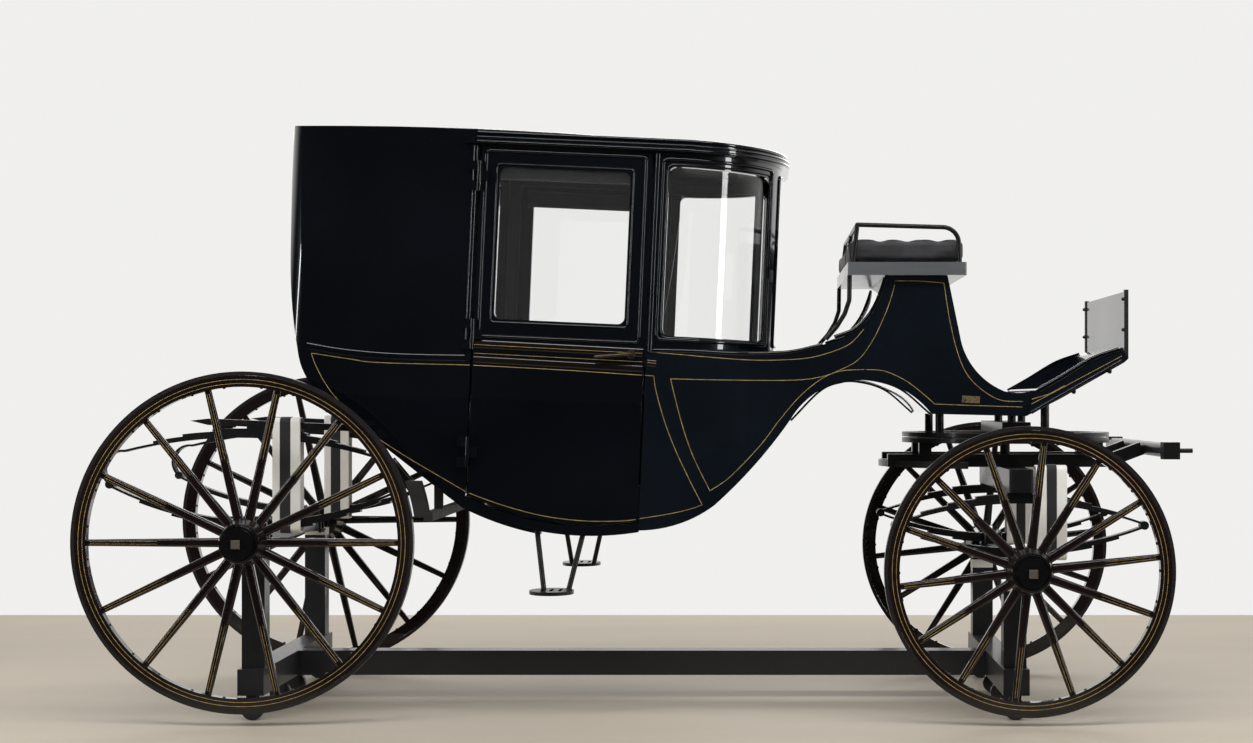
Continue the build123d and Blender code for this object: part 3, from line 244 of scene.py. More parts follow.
def dome(radius, height, centre, axis, count):
    """Low bolt head: centre + axis * height sin t + radius cos t * (u cos a + v sin a), from its foot to its top."""
    axis = unit(np.asarray(axis, float))
    u = unit(np.cross((0.0, 0.0, 1.0) if abs(axis[2]) < 0.9 else (1.0, 0.0, 0.0), axis))
    a = np.linspace(0, 2 * np.pi, count, endpoint=False)[:, None]
    ring = u * np.cos(a) + np.cross(axis, u) * np.sin(a)
    t = np.array([0.0, 0.35, 0.8, 1.2]) * np.pi / 2.4
    profile = np.vstack(([(radius, -0.002)], np.stack((radius * np.cos(t), height * np.sin(t)), 1), [(0.0, height)]))
    return np.asarray(centre, float) + axis * profile[:, None, 1:] + ring * profile[:, None, :1]


def grid_faces(rows, columns, start, ring):
    """Four-sided faces between the rows of a grid whose columns go all the way round."""
    i = np.arange(rows if ring else rows - 1)[:, None]
    j = np.arange(columns)[None]
    here, there = i * columns, (i + 1) % rows * columns
    right = (j + 1) % columns
    return np.stack((here + j, here + right, there + right, there + j), -1).reshape(-1, 4) + start


def clean(mesh, merge, thin=0.0):
    """Merges doubles, drops slivers under the width thin and turns the faces outwards."""
    work = bmesh.new()
    work.from_mesh(mesh)
    bmesh.ops.remove_doubles(work, verts=work.verts, dist=merge)
    if thin:
        bmesh.ops.dissolve_degenerate(work, edges=work.edges, dist=thin)
    bmesh.ops.recalc_face_normals(work, faces=work.faces)
    work.to_mesh(mesh)
    work.free()


def put(name, data):
    """New object in the scene."""
    item = bpy.data.objects.new(name, data)
    bpy.context.scene.collection.objects.link(item)
    return item


def build(name, grids, look, body, ring=False):
    """One piece from closed tubes given as grids of points; ends are capped unless the tube is a ring."""
    points, faces, caps, start = [], [], [], 0
    for grid in grids:
        rows, columns = grid.shape[:2]
        points.append(grid.reshape(-1, 3))
        faces.append(grid_faces(rows, columns, start, ring))
        if not ring:
            caps.append(list(range(start + columns - 1, start - 1, -1)))
            caps.append(list(range(start + (rows - 1) * columns, start + rows * columns)))
        start += rows * columns
    mesh = bpy.data.meshes.new(name)
    mesh.from_pydata(np.vstack(points).tolist(), [], np.vstack(faces).tolist() + caps)
    clean(mesh, 1e-6, 1e-7)
    mesh.shade_smooth()
    mesh.set_sharp_from_angle(angle=SHARP)
    mesh.materials.append(MATERIALS[look])
    piece = put(name, mesh)
    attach(piece, body)


# The body's surface, as the solid has it: y is the smaller of the plan's and the section's half width

HALF = 590 * MM
BACK = -1240 * MM
FRONT = 436 * MM
TOP = 1291 * MM
BELT = 590 * MM
REAR_R = 90 * MM
FRONT_R = 430 * MM
LEAN_IN = 14 * MM
TUCK_UNDER = 38 * MM
STEP = 2 * MM


def section_half(z):
    """Half width at a height: leans in evenly above the belt, tucks under by the square of the drop below it."""
    above = HALF - LEAN_IN * (z - BELT) / (TOP - BELT)
    below = HALF - TUCK_UNDER * ((BELT - z) / BELT) ** 2
    return np.where(z > BELT, above, below)


def cabin_plan():
    """Outline of the cabin seen from above: quarter circles behind and in front, from middle to middle."""
    t = np.linspace(0, np.pi / 2, 40)
    rear = np.stack((BACK + REAR_R * (1 - np.sin(t[::-1])), HALF - REAR_R * (1 - np.cos(t[::-1]))), 1)
    front = np.stack((FRONT - FRONT_R * (1 - np.sin(t)), HALF - FRONT_R * (1 - np.cos(t))), 1)
    line = np.vstack(([[BACK, 0.0]], rear, front, [[FRONT, 0.0]]))
    return even_steps(line, 900)


PLAN = cabin_plan()
PLAN_RUN = np.concatenate(([0.0], np.cumsum(np.linalg.norm(np.diff(PLAN, axis=0), axis=1))))
PLAN_NORMAL = unit(np.stack((-np.gradient(PLAN[:, 1]), np.gradient(PLAN[:, 0])), 1))


def run_at(x):
    """Distance along the plan outline at a place x of the body."""
    return np.interp(x, PLAN[:, 0], PLAN_RUN)


def surface(x, y, z, normal, side, out):
    """Point moved out along its normal, and the normal, both in the level frame."""
    normal = unit(normal)
    return to_level(np.stack((x, side * y, z), -1) + normal * out), turn_level(normal)


def wall(run, z, side, out=0.0):
    """Point and outward normal of the cabin wall at a distance along the plan and a height."""
    run, z = np.broadcast_arrays(np.asarray(run, float), np.asarray(z, float))
    x, y = (np.interp(run, PLAN_RUN, PLAN[:, k]) for k in (0, 1))
    nx, ny = (np.interp(run, PLAN_RUN, PLAN_NORMAL[:, k]) for k in (0, 1))
    limit = section_half(z)
    slope = (section_half(z + STEP / 2) - section_half(z - STEP / 2)) / STEP
    nz = np.where(y >= limit, -slope, 0.0)
    return surface(x, np.minimum(y, limit), z, np.stack((nx, side * ny, nz * ny), -1), side, out)


# The boot seen from above, in metres: where its second arc, its straight run and the toe board start, and half widths

ARC_END, RUN_START, TOE_START = 0.350, 0.720, 1.313
ARC_HALF, RUN_HALF, TOE_HALF = 0.505, 0.440, 0.448


def arc_y(x, a, b, c):
    """Height of the circle through three points, above its chord."""
    (ax, ay), (bx, by), (cx, cy) = a, b, c
    d = 2 * (ax * (by - cy) + bx * (cy - ay) + cx * (ay - by))
    ux = ((ax**2 + ay**2) * (by - cy) + (bx**2 + by**2) * (cy - ay) + (cx**2 + cy**2) * (ay - by)) / d
    uy = ((ax**2 + ay**2) * (cx - bx) + (bx**2 + by**2) * (ax - cx) + (cx**2 + cy**2) * (bx - ax)) / d
    radius = math.hypot(ax - ux, ay - uy)
    sign = 1.0 if by > uy else -1.0
    return uy + sign * np.sqrt(np.maximum(radius**2 - (x - ux) ** 2, 0))


def boot_half(x):
    """Half width seen from above: two arcs that narrow the boot, a straight run, then the wider toe board."""
    first = arc_y(x, (0.0, HALF), (0.1925, HALF - 0.0272), (ARC_END, ARC_HALF))
    second = arc_y(x, (ARC_END, ARC_HALF), (0.535, 0.4615), (RUN_START, RUN_HALF))
    straight = np.where(x < TOE_START, RUN_HALF, TOE_HALF)
    return np.where(x < ARC_END, first, np.where(x < RUN_START, second, straight))


def boot_wall(x, z, side, out=0.0):
    """Point and outward normal of the boot's side."""
    x, z = np.broadcast_arrays(np.asarray(x, float), np.asarray(z, float))

    def half(a, b):
        return np.minimum(boot_half(a), section_half(b))

    nx = -(half(x + STEP, z) - half(x - STEP, z)) / (2 * STEP)
    nz = -(half(x, z + STEP) - half(x, z - STEP)) / (2 * STEP)
    return surface(x, half(x, z), z, np.stack((nx, np.full_like(x, side), nz), -1), side, out)


def cabin_line(points, side, profile, count=60):
    """Profile carried along a line drawn on the cabin's side."""
    line = drawn(points, count)
    return carry(*wall(run_at(line[:, 0]), line[:, 1], side), profile)


def boot_line(points, side, profile, count=60):
    """Profile carried along a line drawn on the boot's side."""
    line = drawn(points, count)
    return carry(*boot_wall(line[:, 0], line[:, 1], side), profile)


# Materials

def feed(tree, sockets, values):
    """Sets sockets by their keys: from another socket by a link, else to a value."""
    for key, value in values.items():
        if isinstance(value, bpy.types.NodeSocket):
            tree.links.new(value, sockets[key])
        else:
            sockets[key].default_value = value


def add(tree, kind, inputs=None, **settings):
    """Shader node of a kind with its settings and inputs."""
    node = tree.nodes.new("ShaderNode" + kind)
    for key, value in settings.items():
        setattr(node, key, value)
    feed(tree, node.inputs, inputs or {})
    return node


def maths(tree, operation, a, b=None, clamp=False):
    """Math node on sockets or numbers."""
    inputs = {0: a} if b is None else {0: a, 1: b}
    return add(tree, "Math", inputs, operation=operation, use_clamp=clamp).outputs[0]


def times(tree, a, b, clamp=False):
    return maths(tree, "MULTIPLY", a, b, clamp)


def plus(tree, a, b, clamp=False):
    return maths(tree, "ADD", a, b, clamp)


def place_of(tree):
    """Object coordinates."""
    return add(tree, "TexCoord").outputs["Object"]


def split(tree, vector):
    """X, Y and Z of a vector."""
    return add(tree, "SeparateXYZ", {0: vector}).outputs


def noise(tree, scale, detail=3.0, roughness=0.5, stretch=None):
    """Noise on object coordinates, drawn out along an axis when stretch is given."""
    place = place_of(tree)
    if stretch:
        place = add(tree, "Mapping", {"Vector": place, "Scale": stretch}).outputs["Vector"]
    inputs = {"Vector": place, "Scale": scale, "Detail": detail, "Roughness": roughness}
    return add(tree, "TexNoise", inputs).outputs["Fac"]


def ramp(tree, value, low, high, out_low=0.0, out_high=1.0):
    """Value carried from one range to another, held at its ends."""
    inputs = {"Value": value, "From Min": low, "From Max": high, "To Min": out_low, "To Max": out_high}
    return add(tree, "MapRange", inputs).outputs["Result"]


def mix(tree, mask, a, b):
    """Colour between a and b by a mask; a and b are colours or sockets."""
    node = add(tree, "Mix", data_type="RGBA")
    a, b = (c if isinstance(c, bpy.types.NodeSocket) else (*c[:3], 1) for c in (a, b))
    sockets = {socket.identifier: socket for socket in node.inputs}
    feed(tree, sockets, {"Factor_Float": mask, "A_Color": a, "B_Color": b})
    return {socket.identifier: socket for socket in node.outputs}["Result_Color"]


def dust_group(tree, given):
    """Dust that settles on faces which look up: the normal's upward share times a noise."""
    upward = ramp(tree, split(tree, add(tree, "NewGeometry").outputs["Normal"])["Z"], 0.1, 1.0)
    cloud = ramp(tree, noise(tree, given["Scale"], 5.0, 0.6), 0.35, 0.75)
    return {"Mask": times(tree, times(tree, upward, cloud), given["Amount"], True)}


def scuff_group(tree, given):
    """Fine scuffs: two stretched noises, kept only where both are high."""
    first = noise(tree, given["Scale"], 4.0, 0.7, (1.0, 1.0, 7.0))
    second = noise(tree, given["Scale"], 2.0, 0.6, (6.0, 1.0, 1.0))
    both = times(tree, ramp(tree, first, 0.56, 0.74), ramp(tree, second, 0.45, 0.7))
    return {"Mask": times(tree, both, given["Amount"], True)}


def brushed_group(tree, given):
    """Slow unevenness of hand-laid paint: a wide noise and a fine one added."""
    wide = noise(tree, given["Scale"], 2.0, 0.5)
    fine = noise(tree, 55.0, 3.0, 0.6, (1.0, 1.0, 3.0))
    value = plus(tree, times(tree, wide, 0.75), times(tree, fine, 0.25))
    return {"Value": value, "Height": times(tree, value, given["Depth"])}


def leather_group(tree, given):
    """Leather grain: cells whose edges sink, broken up by noise, and folds as a wide noise."""
    inputs = {"Vector": place_of(tree), "Scale": given["Scale"]}
    cells = add(tree, "TexVoronoi", inputs, feature="DISTANCE_TO_EDGE").outputs["Distance"]
    folds = noise(tree, 14.0, 4.0, 0.6)
    height = plus(tree, times(tree, ramp(tree, cells, 0.0, 0.25), 0.5), times(tree, folds, given["Folds"]))
    return {"Height": height, "Crease": ramp(tree, folds, 0.42, 0.62)}


def weave_group(tree, given):
    """Cloth weave: a sine of warp and one of weft, each shown where the other sinks."""
    place = split(tree, place_of(tree))
    warp = maths(tree, "SINE", times(tree, plus(tree, place["X"], place["Z"]), given["Threads"]))
    weft = maths(tree, "SINE", times(tree, place["Y"], given["Threads"]))
    return {"Height": ramp(tree, times(tree, warp, weft), -1.0, 1.0)}


def grain_group(tree, given):
    """Wood grain: rings of a noise stretched along X, with pores finer than them."""
    value = ramp(tree, noise(tree, given["Scale"], 5.0, 0.65, (0.12, 1.0, 1.0)), 0.3, 0.7)
    pores = noise(tree, 260.0, 2.0, 0.7, (0.06, 1.0, 1.0))
    return {"Value": value, "Height": plus(tree, times(tree, value, 0.4), times(tree, pores, 0.6))}


GROUPS = {
    "Dust": (dust_group, {"Amount": 0.3, "Scale": 9.0}),
    "Scuffs": (scuff_group, {"Amount": 0.3, "Scale": 40.0}),
    "Brushed Paint": (brushed_group, {"Scale": 2.0, "Depth": 0.5}),
    "Leather Grain": (leather_group, {"Scale": 350.0, "Folds": 0.4}),
    "Cloth Weave": (weave_group, {"Threads": 900.0}),
    "Wood Grain": (grain_group, {"Scale": 14.0}),
}


def new_group(name):
    """Node group of a shared effect: its inputs with their defaults, its nodes, then its outputs."""
    make, inputs = GROUPS[name]
    group = bpy.data.node_groups.new(name, "ShaderNodeTree")
    for label, default in inputs.items():
        socket = group.interface.new_socket(name=label, in_out="INPUT", socket_type="NodeSocketFloat")
        socket.default_value = default
    results = make(group, group.nodes.new("NodeGroupInput").outputs)
    for label in results:
        group.interface.new_socket(name=label, in_out="OUTPUT", socket_type="NodeSocketFloat")
    feed(group, group.nodes.new("NodeGroupOutput").inputs, results)
    return group


def effect(tree, name, **values):
    """Outputs of a shared effect, whose group is made the first time that it is asked for."""
    group = bpy.data.node_groups.get(name) or new_group(name)
    node = add(tree, "Group", node_tree=group)
    feed(tree, node.inputs, values)
    return node.outputs


def new_material(name):
    """Material and its node tree."""
    material = bpy.data.materials.new(name)
    material.use_nodes = True
    return material, material.node_tree


def finish(material, colour, roughness, bump=None, **constants):
    """Material whose own shader gets a colour, a roughness, a bump of height, strength and distance, and constants."""
    tree = material.node_tree
    shader = tree.nodes["Principled BSDF"].inputs
    feed(tree, shader, {"Base Color": colour, "Roughness": roughness})
    feed(tree, shader, {key.replace("_", " "): value for key, value in constants.items()})
    if bump:
        height, strength, distance = bump
        inputs = {"Height": height, "Strength": strength, "Distance": distance}
        feed(tree, shader, {"Normal": add(tree, "Bump", inputs).outputs["Normal"]})
    return material


def gloss_paint(name, colour, roughness=0.2, coat=1.0, dust=0.15, wear=0.12, worn=(0.035, 0.033, 0.03), depth=0.4):
    """Varnished paint: brushed unevenness, scuffs towards a worn colour, dust on top, under a clear coat."""
    material, tree = new_material(name)
    brushed = effect(tree, "Brushed Paint", Scale=2.3, Depth=depth)
    scuffs = effect(tree, "Scuffs", Amount=wear, Scale=22.0)["Mask"]
    settled = effect(tree, "Dust", Amount=dust, Scale=7.0)["Mask"]
    base = np.array(colour)
    tone = mix(tree, ramp(tree, brushed["Value"], 0.35, 0.65), base * 0.75, base * 1.3)
    tone = mix(tree, settled, mix(tree, scuffs, tone, worn), (0.16, 0.15, 0.14))
    rough = ramp(tree, brushed["Value"], 0.3, 0.7, roughness * 0.8, roughness * 1.25)
    rough = plus(tree, rough, times(tree, scuffs, 0.4), True)
    rough = plus(tree, rough, times(tree, settled, 0.6), True)
    bump = (brushed["Height"], 0.12, 0.002)
    return finish(material, tone, rough, bump, Specular_IOR_Level=0.12, Coat_Weight=coat, Coat_Roughness=0.035)


def iron_paint(name, colour, roughness=0.45, rust=0.25):
    """Painted iron: pitted bump, worn to brown along noise, dusty on top."""
    material, tree = new_material(name)
    pits = noise(tree, 180.0, 4.0, 0.6)
    patches = ramp(tree, noise(tree, 16.0, 5.0, 0.65), 0.56, 0.72, 0.0, rust)
    settled = effect(tree, "Dust", Amount=0.18, Scale=11.0)["Mask"]
    base = np.array(colour)
    tone = mix(tree, ramp(tree, pits, 0.3, 0.7), base * 0.7, base * 1.35)
    tone = mix(tree, settled, mix(tree, patches, tone, (0.055, 0.035, 0.024)), (0.15, 0.14, 0.13))
    rough = ramp(tree, pits, 0.3, 0.7, roughness - 0.08, roughness + 0.14)
    bump = (pits, 0.18, 0.0008)
    return finish(material, tone, rough, bump, Specular_IOR_Level=0.22, Coat_Weight=0.4, Coat_Roughness=0.15)


def leather(name, colour, roughness):
    """Leather: cell grain and folds, lighter where it is creased."""
    material, tree = new_material(name)
    hide = effect(tree, "Leather Grain", Scale=330.0, Folds=0.5)
    settled = effect(tree, "Dust", Amount=0.3, Scale=10.0)["Mask"]
    base = np.array(colour)
    tone = mix(tree, hide["Crease"], base * 0.8, base * 1.5)
    tone = mix(tree, settled, tone, (0.12, 0.12, 0.12))
    rough = ramp(tree, hide["Crease"], 0.0, 1.0, roughness, roughness + 0.15)
    return finish(material, tone, rough, (hide["Height"], 0.35, 0.0008))


def cloth(name, colour, roughness=0.85, threads=1400.0):
    """Woven cloth: warp and weft in colour and bump, with a soft sheen."""
    material, tree = new_material(name)
    weave = effect(tree, "Cloth Weave", Threads=threads)["Height"]
    wear = ramp(tree, noise(tree, 8.0, 4.0, 0.6), 0.35, 0.7)
    base = np.array(colour)
    tone = mix(tree, wear, mix(tree, weave, base * 0.7, base * 1.3), base * 1.05)
    return finish(material, tone, roughness, (weave, 0.3, 0.0006), Sheen_Weight=0.25)


def wood(name, colour, roughness=0.5, contrast=0.45, coat=0.0):
    """Wood under thin paint: grain in colour, roughness and bump."""
    material, tree = new_material(name)
    grain = effect(tree, "Wood Grain", Scale=14.0)
    settled = effect(tree, "Dust", Amount=0.3, Scale=9.0)["Mask"]
    scuffs = effect(tree, "Scuffs", Amount=0.3, Scale=26.0)["Mask"]
    base = np.array(colour)
    tone = mix(tree, grain["Value"], base * (1 - contrast), base * (1 + contrast))
    tone = mix(tree, settled, mix(tree, scuffs, tone, base * 2.4 + 0.02), (0.16, 0.155, 0.15))
    rough = ramp(tree, grain["Value"], 0.0, 1.0, roughness + 0.08, roughness - 0.05)
    return finish(material, tone, rough, (grain["Height"], 0.2, 0.0008), Coat_Weight=coat, Coat_Roughness=0.12)


def metal(name, colour, roughness):
    """Bare metal: tarnish in patches and fine brushing."""
    material, tree = new_material(name)
    patches = ramp(tree, noise(tree, 60.0, 5.0, 0.65), 0.42, 0.68)
    brush = noise(tree, 420.0, 2.0, 0.5, (1.0, 0.1, 1.0))
    tone = mix(tree, patches, colour, (0.10, 0.07, 0.04))
    rough = ramp(tree, patches, 0.0, 1.0, roughness, roughness + 0.3)
    return finish(material, tone, rough, (brush, 0.08, 0.0004), Metallic=1.0)


def clear_glass(name):
    """Old window glass: clear, with a slow wave in its surface."""
    material, tree = new_material(name)
    bump = (noise(tree, 5.0, 2.0, 0.4), 0.05, 0.004)
    return finish(material, (0.99, 0.995, 0.995, 1), 0.0, bump, IOR=1.36, Transmission_Weight=1.0)


def foam(name, colour):
    """Closed-cell foam: fine pits and a slight yellowing."""
    material, tree = new_material(name)
    cells = noise(tree, 420.0, 3.0, 0.7)
    aged = ramp(tree, noise(tree, 7.0, 3.0, 0.6), 0.4, 0.75)
    tone = mix(tree, aged, colour, np.array(colour) * (0.94, 0.90, 0.82))
    return finish(material, tone, ramp(tree, cells, 0.3, 0.7, 0.7, 0.95), (cells, 0.25, 0.001))


def gold_line(name, colour):
    """Hand-painted line: bronze paint that thins in places."""
    material, tree = new_material(name)
    thin = ramp(tree, noise(tree, 45.0, 4.0, 0.6), 0.35, 0.62)
    tone = mix(tree, thin, np.array(colour) * 0.45, colour)
    return finish(material, tone, ramp(tree, thin, 0.0, 1.0, 0.55, 0.38), Metallic=0.25)


MATERIALS = {}


def make_materials():
    """All finishes, by their slot or use."""
    p = paint()
    MATERIALS.update(
        coach_black=gloss_paint("Coach Black", p.body, 0.22),
        moulding_black=gloss_paint("Moulding Black", p.body, 0.16, wear=0.2, dust=0.08),
        # Belt mouldings: real near-black paint with a warm brown tint that is a painted reflection of the warm floor
        moulding_brown=gloss_paint("Moulding Painted Warm Reflection", (0.006, 0.0042, 0.0034), 0.24, wear=0.15, dust=0.06),
        slate_paint=wood("Slate Paint", (0.085, 0.09, 0.10), 0.42, 0.2, 0.6),
        boot_panel=gloss_paint("Boot Panel", p.boot, 0.22, wear=0.15),
        dash_leather=gloss_paint("Dash Leather", (0.018, 0.018, 0.02), 0.3, 0.65, 0.1, 0.05, depth=0.1),
        black_leather=leather("Seat Leather", p.leather, 0.62),
        interior_cloth=cloth("Cabin Cloth", p.cloth),
        interior_wood=wood("Cabin Wood", (0.06, 0.035, 0.02)),
        window_glass=clear_glass("Window Glass"),
        handle_brass=metal("Handle Brass", p.brass, 0.4),
        gear_black=iron_paint("Gear Black", p.iron),
        brake_wood=wood("Brake Wood", (0.011, 0.0105, 0.0105), 0.6),
        iron_tyre=iron_paint("Tyre", (0.012, 0.010, 0.010), 0.5),
        wheel_maroon=gloss_paint("Wheel Maroon", p.wheel, 0.28, 0.9, 0.12, 0.35, (0.045, 0.028, 0.02)),
        hub_black=gloss_paint("Hub Black", (0.0035, 0.0035, 0.004), 0.22, 1.0, 0.1, 0.3),
        stand_steel=iron_paint("Stand Steel", p.stand, 0.5, rust=0.05),
        stand_foam=foam("Stand Foam", p.foam),
        caster_rubber=iron_paint("Caster Rubber", (0.014, 0.014, 0.015), 0.6, rust=0.02),
        gold_line=gold_line("Gold Line", p.line),
        webbing=cloth("Black Webbing", (0.012, 0.012, 0.014), 0.7, 2600.0),
        lining=cloth("Cabin Lining", (0.018, 0.019, 0.021), 0.9, 1600.0),
        worn_iron=iron_paint("Worn Iron", (0.075, 0.066, 0.056), 0.5, rust=0.5),
        plate_brass=metal("Plate Brass", (0.55, 0.42, 0.22), 0.42),
    )


class CARRIAGE_OT_finishes(bpy.types.Operator):
    """Give every carried-over part its finish"""
    bl_idname = "carriage.finishes"
    bl_label = "Finishes"

    def execute(self, context):
        make_materials()
        for row in frame["record"]["subparts"]:
            mesh = NODES[row["node"]].data
            mesh.materials.clear()
            look = "boot_panel" if row["node"] in ("boot", "toe_board") else row["material_slot"]
            mesh.materials.append(MATERIALS[look])
        return {"FINISHED"}


# Lines on the body, in millimetres of the leaning body frame

REAR_GOLD = [
    [(-594, 540), (-899, 535), (-1002, 543), (-1131, 557)],
    [(-1131, 557), (-1120, 527), (-1083, 461), (-1029, 396), (-923, 299), (-818, 232), (-714, 175), (-594, 111)],
]
DOOR_GOLD = [
    [(-582, 540), (-289, 537), (-10, 531)],
    [(-582, 106), (-472, 71), (-335, 40), (-198, 28), (-73, 32), (-12, 40)],
]
PILLAR_GOLD = [
    [(2, 531), (30, 530)],
    [(30, 530), (39, 483), (71, 383), (109, 293), (160, 193), (212, 100)],
    [(212, 100), (172, 84), (100, 64), (2, 44)],
]
BOOT_GOLD = [
    [(87, 523), (107, 452), (139, 351), (177, 258), (236, 148)],
    [(236, 148), (302, 198), (400, 308), (464, 400), (528, 481), (594, 541), (661, 575), (749, 586)],
    [(754, 586), (820, 583), (890, 555), (943, 520), (997, 477)],
    [(997, 477), (1150, 478), (1300, 480)],
    [(1330, 492), (1426, 548), (1634, 671)],
    [
        (87, 523), (254, 527), (492, 537), (594, 552), (660, 578), (727, 619), (772, 685), (803, 755), (827, 824),
        (841, 883),
    ],
    [(841, 896), (925, 899), (1010, 896)],
    [(1010, 896), (1036, 769), (1065, 667), (1099, 592), (1150, 539), (1221, 501), (1300, 499)],
    [(1330, 508), (1390, 530), (1440, 560)],
]
BELT_GOLD = [(13, 611), (319, 600), (488, 608), (589, 626), (689, 668), (741, 724)]


class CARRIAGE_OT_body_lines(bpy.types.Operator):
    """Paint the gold lines of the rear quarters, doors, pillars and boot"""
    bl_idname = "carriage.body_lines"
    bl_label = "Body Lines"

    def execute(self, context):
        band = flat_band(sizes().line_width, sizes().line_height)
        fixed = []
        for name, side in SIDES.items():
            fixed += [cabin_line(row, side, band) for row in REAR_GOLD]
            fixed += [boot_line(row, side, band) for row in PILLAR_GOLD + BOOT_GOLD + [BELT_GOLD]]
            door = [cabin_line(row, side, band) for row in DOOR_GOLD]
            build(f"door_gold_lines_{name}", door, "gold_line", f"door_{name}_body")
        build("body_gold_lines", fixed, "gold_line", "root")
        return {"FINISHED"}


# Windows in metres of the body frame: x and z from low to high, then the corners' radius; the front one's low and
# high corners are across and up

DOOR_BEAD = (-0.569, -0.026, 0.640, 1.271, 0.014)
DOOR_FINE_BEAD = (-0.531, -0.067, 0.690, 1.227, 0.012)
QUARTER_BEAD = (0.032, 0.401, 0.655, 1.268, 0.016)
QUARTER_FINE_BEAD = (0.046, 0.396, 0.662, 1.250, 0.022)
FRONT_BEAD = ((-0.250, 0.655), (0.250, 1.256), 0.016)

# Belts and beads in millimetres of the body frame, then a width and a height in metres; a gold line has its lift

DOOR_BELTS = (([(-582, 614), (-10, 608)], 0.030, 0.0045), ([(-582, 561), (-10, 553)], 0.024, 0.0045))
DOOR_BELT_LINES = (([(-582, 610), (-12, 605)], 0.0042), ([(-582, 581), (-12, 576)], 0.0))
CABIN_BEADS = (
    ([(-606, 612), (-606, 1284)], 0.018, 0.009),
    ([(12, 612), (12, 1284)], 0.018, 0.009),
    ([(-612, 564), (-760, 560), (-901, 560), (-1037, 568), (-1148, 582)], 0.024, 0.004),
)
PILLAR_BELT = [(6, 575), (36, 573)]
BOOT_BEADS = (
    ([(808, 905), (796, 862), (776, 808), (748, 762), (708, 722), (640, 692)], 0.016, 0.007),
    ([(24, 617), (160, 620), (320, 620), (480, 633), (600, 664)], 0.014, 0.006),
    ([(1352, 540), (1430, 589), (1530, 655), (1622, 693)], 0.018, 0.006),
    ([(1330, 462), (1430, 526), (1530, 589), (1634, 655)], 0.012, 0.005),
)

# Height, distance from the wall, width and height of each bead of the cornice, in metres

CORNICE_BEADS = ((1.297, 0.024, 0.011, 0.005), (1.312, 0.024, 0.008, 0.004), (1.328, 0.014, 0.014, 0.006))


def beads(line, rows, side):
    """Half round beads along rows of points, width and height, on the surface that line draws on."""
    return [line(row, side, half_round(width, height)) for row, width, height in rows]


def wall_loop(window, side, profile):
    """Closed bead round a window: a rounded rectangle laid on the unrolled wall."""
    x_low, x_high, z_low, z_high, radius = window
    loop = rounded_loop((run_at(x_low), z_low), (run_at(x_high), z_high), radius)
    return carry(*wall(loop[:, 0], loop[:, 1], side), profile, closed=True)


def front_loop(profile):
    """Closed bead round the front light, across both halves of the unrolled wall."""
    loop = rounded_loop(*FRONT_BEAD)
    run = PLAN_RUN[-1] - np.abs(loop[:, 0])
    left = (loop[:, 0] > 0)[:, None]
    path, normal = (np.where(left, a, b) for a, b in zip(wall(run, loop[:, 1], 1), wall(run, loop[:, 1], -1)))
    return carry(path, normal, profile, closed=True)


def cornice_run(z, out, profile):
    """Bead along the cornice: from the right door's rear edge round the front to the left one."""
    along = np.linspace(run_at(-0.60), PLAN_RUN[-1], 150)
    halves = zip(wall(along, z, -1, out), wall(along[::-1][1:], z, 1, out))
    return carry(*(np.vstack(half) for half in halves), profile)


class CARRIAGE_OT_mouldings(bpy.types.Operator):
    """Add the beads round the windows and doors, the belt mouldings and the cornice"""
    bl_idname = "carriage.mouldings"
    bl_label = "Mouldings"

    def execute(self, context):
        s = sizes()
        bead = half_round(s.bead_width, s.bead_height)
        fine = half_round(s.bead_width * 0.55, s.bead_height * 0.6)
        band = flat_band(s.line_width * 0.7, s.line_height)
        loops, runs, gold, brown = [], [], [], []
        for name, side in SIDES.items():
            body = f"door_{name}_body"
            windows = [wall_loop(DOOR_BEAD, side, bead), wall_loop(DOOR_FINE_BEAD, side, fine)]
            build(f"door_window_beads_{name}", windows, "moulding_black", body, ring=True)
            belts = beads(cabin_line, DOOR_BELTS, side)
            # The door belt beads' brown tint is a painted reflection of the warm floor on black mouldings
            build(f"door_belt_beads_{name}", belts, "moulding_brown", body)
            lines = [cabin_line(row, side, band + (0.0, lift)) for row, lift in DOOR_BELT_LINES]
            build(f"door_belt_lines_{name}", lines, "gold_line", body)
            loops += [wall_loop(QUARTER_BEAD, side, bead), wall_loop(QUARTER_FINE_BEAD, side, fine)]
            # Pillar belt beads: black mouldings whose brown tint is a painted reflection of the warm floor
            brown.append(boot_line(PILLAR_BELT, side, half_round(0.024, 0.0045)))
            gold.append(boot_line(PILLAR_BELT, side, band + (0.0, 0.0042)))
            runs += beads(cabin_line, CABIN_BEADS, side) + beads(boot_line, BOOT_BEADS, side)
        loops.append(front_loop(bead))
        runs += [cornice_run(z, out, half_round(width, height)) for z, out, width, height in CORNICE_BEADS]
        build("window_beads", loops, "moulding_black", "root", ring=True)
        build("body_beads", runs, "moulding_black", "root")
        build("belt_beads", brown, "moulding_brown", "root")
        build("belt_gold_lines", gold, "gold_line", "root")
        return {"FINISHED"}


# Wheels, in metres: the hub's distance from the carriage's middle, depths of tyre and felloe, the felloe's face, its
# lines as shares of its depth, the front wheels' first spoke, and a spoke's foot and top: where they lie on the
# radius, how far out the face is and how far aside the lines run; the felloe bolts' angle from the spoke in radians

HUB_MIDDLE = 0.694
TYRE_DEPTH = 0.0133
FELLOE_DEPTH = 0.038
FELLOE_FACE = 0.017
FELLOE_LINES = (0.30, 0.66)
SPOKES = 14
FRONT_PHASE = math.radians(6.5)
SPOKE_FOOT, SPOKE_TOP = 0.105, 0.012
SPOKE_FACE_FOOT, SPOKE_FACE_TOP = 0.0162, 0.0101
LINE_ASIDE_FOOT, LINE_ASIDE_TOP = 0.0052, 0.0036
BOLT_TURN = 0.105

# Rings round the nave: distance from the carriage's middle, radius and thickness

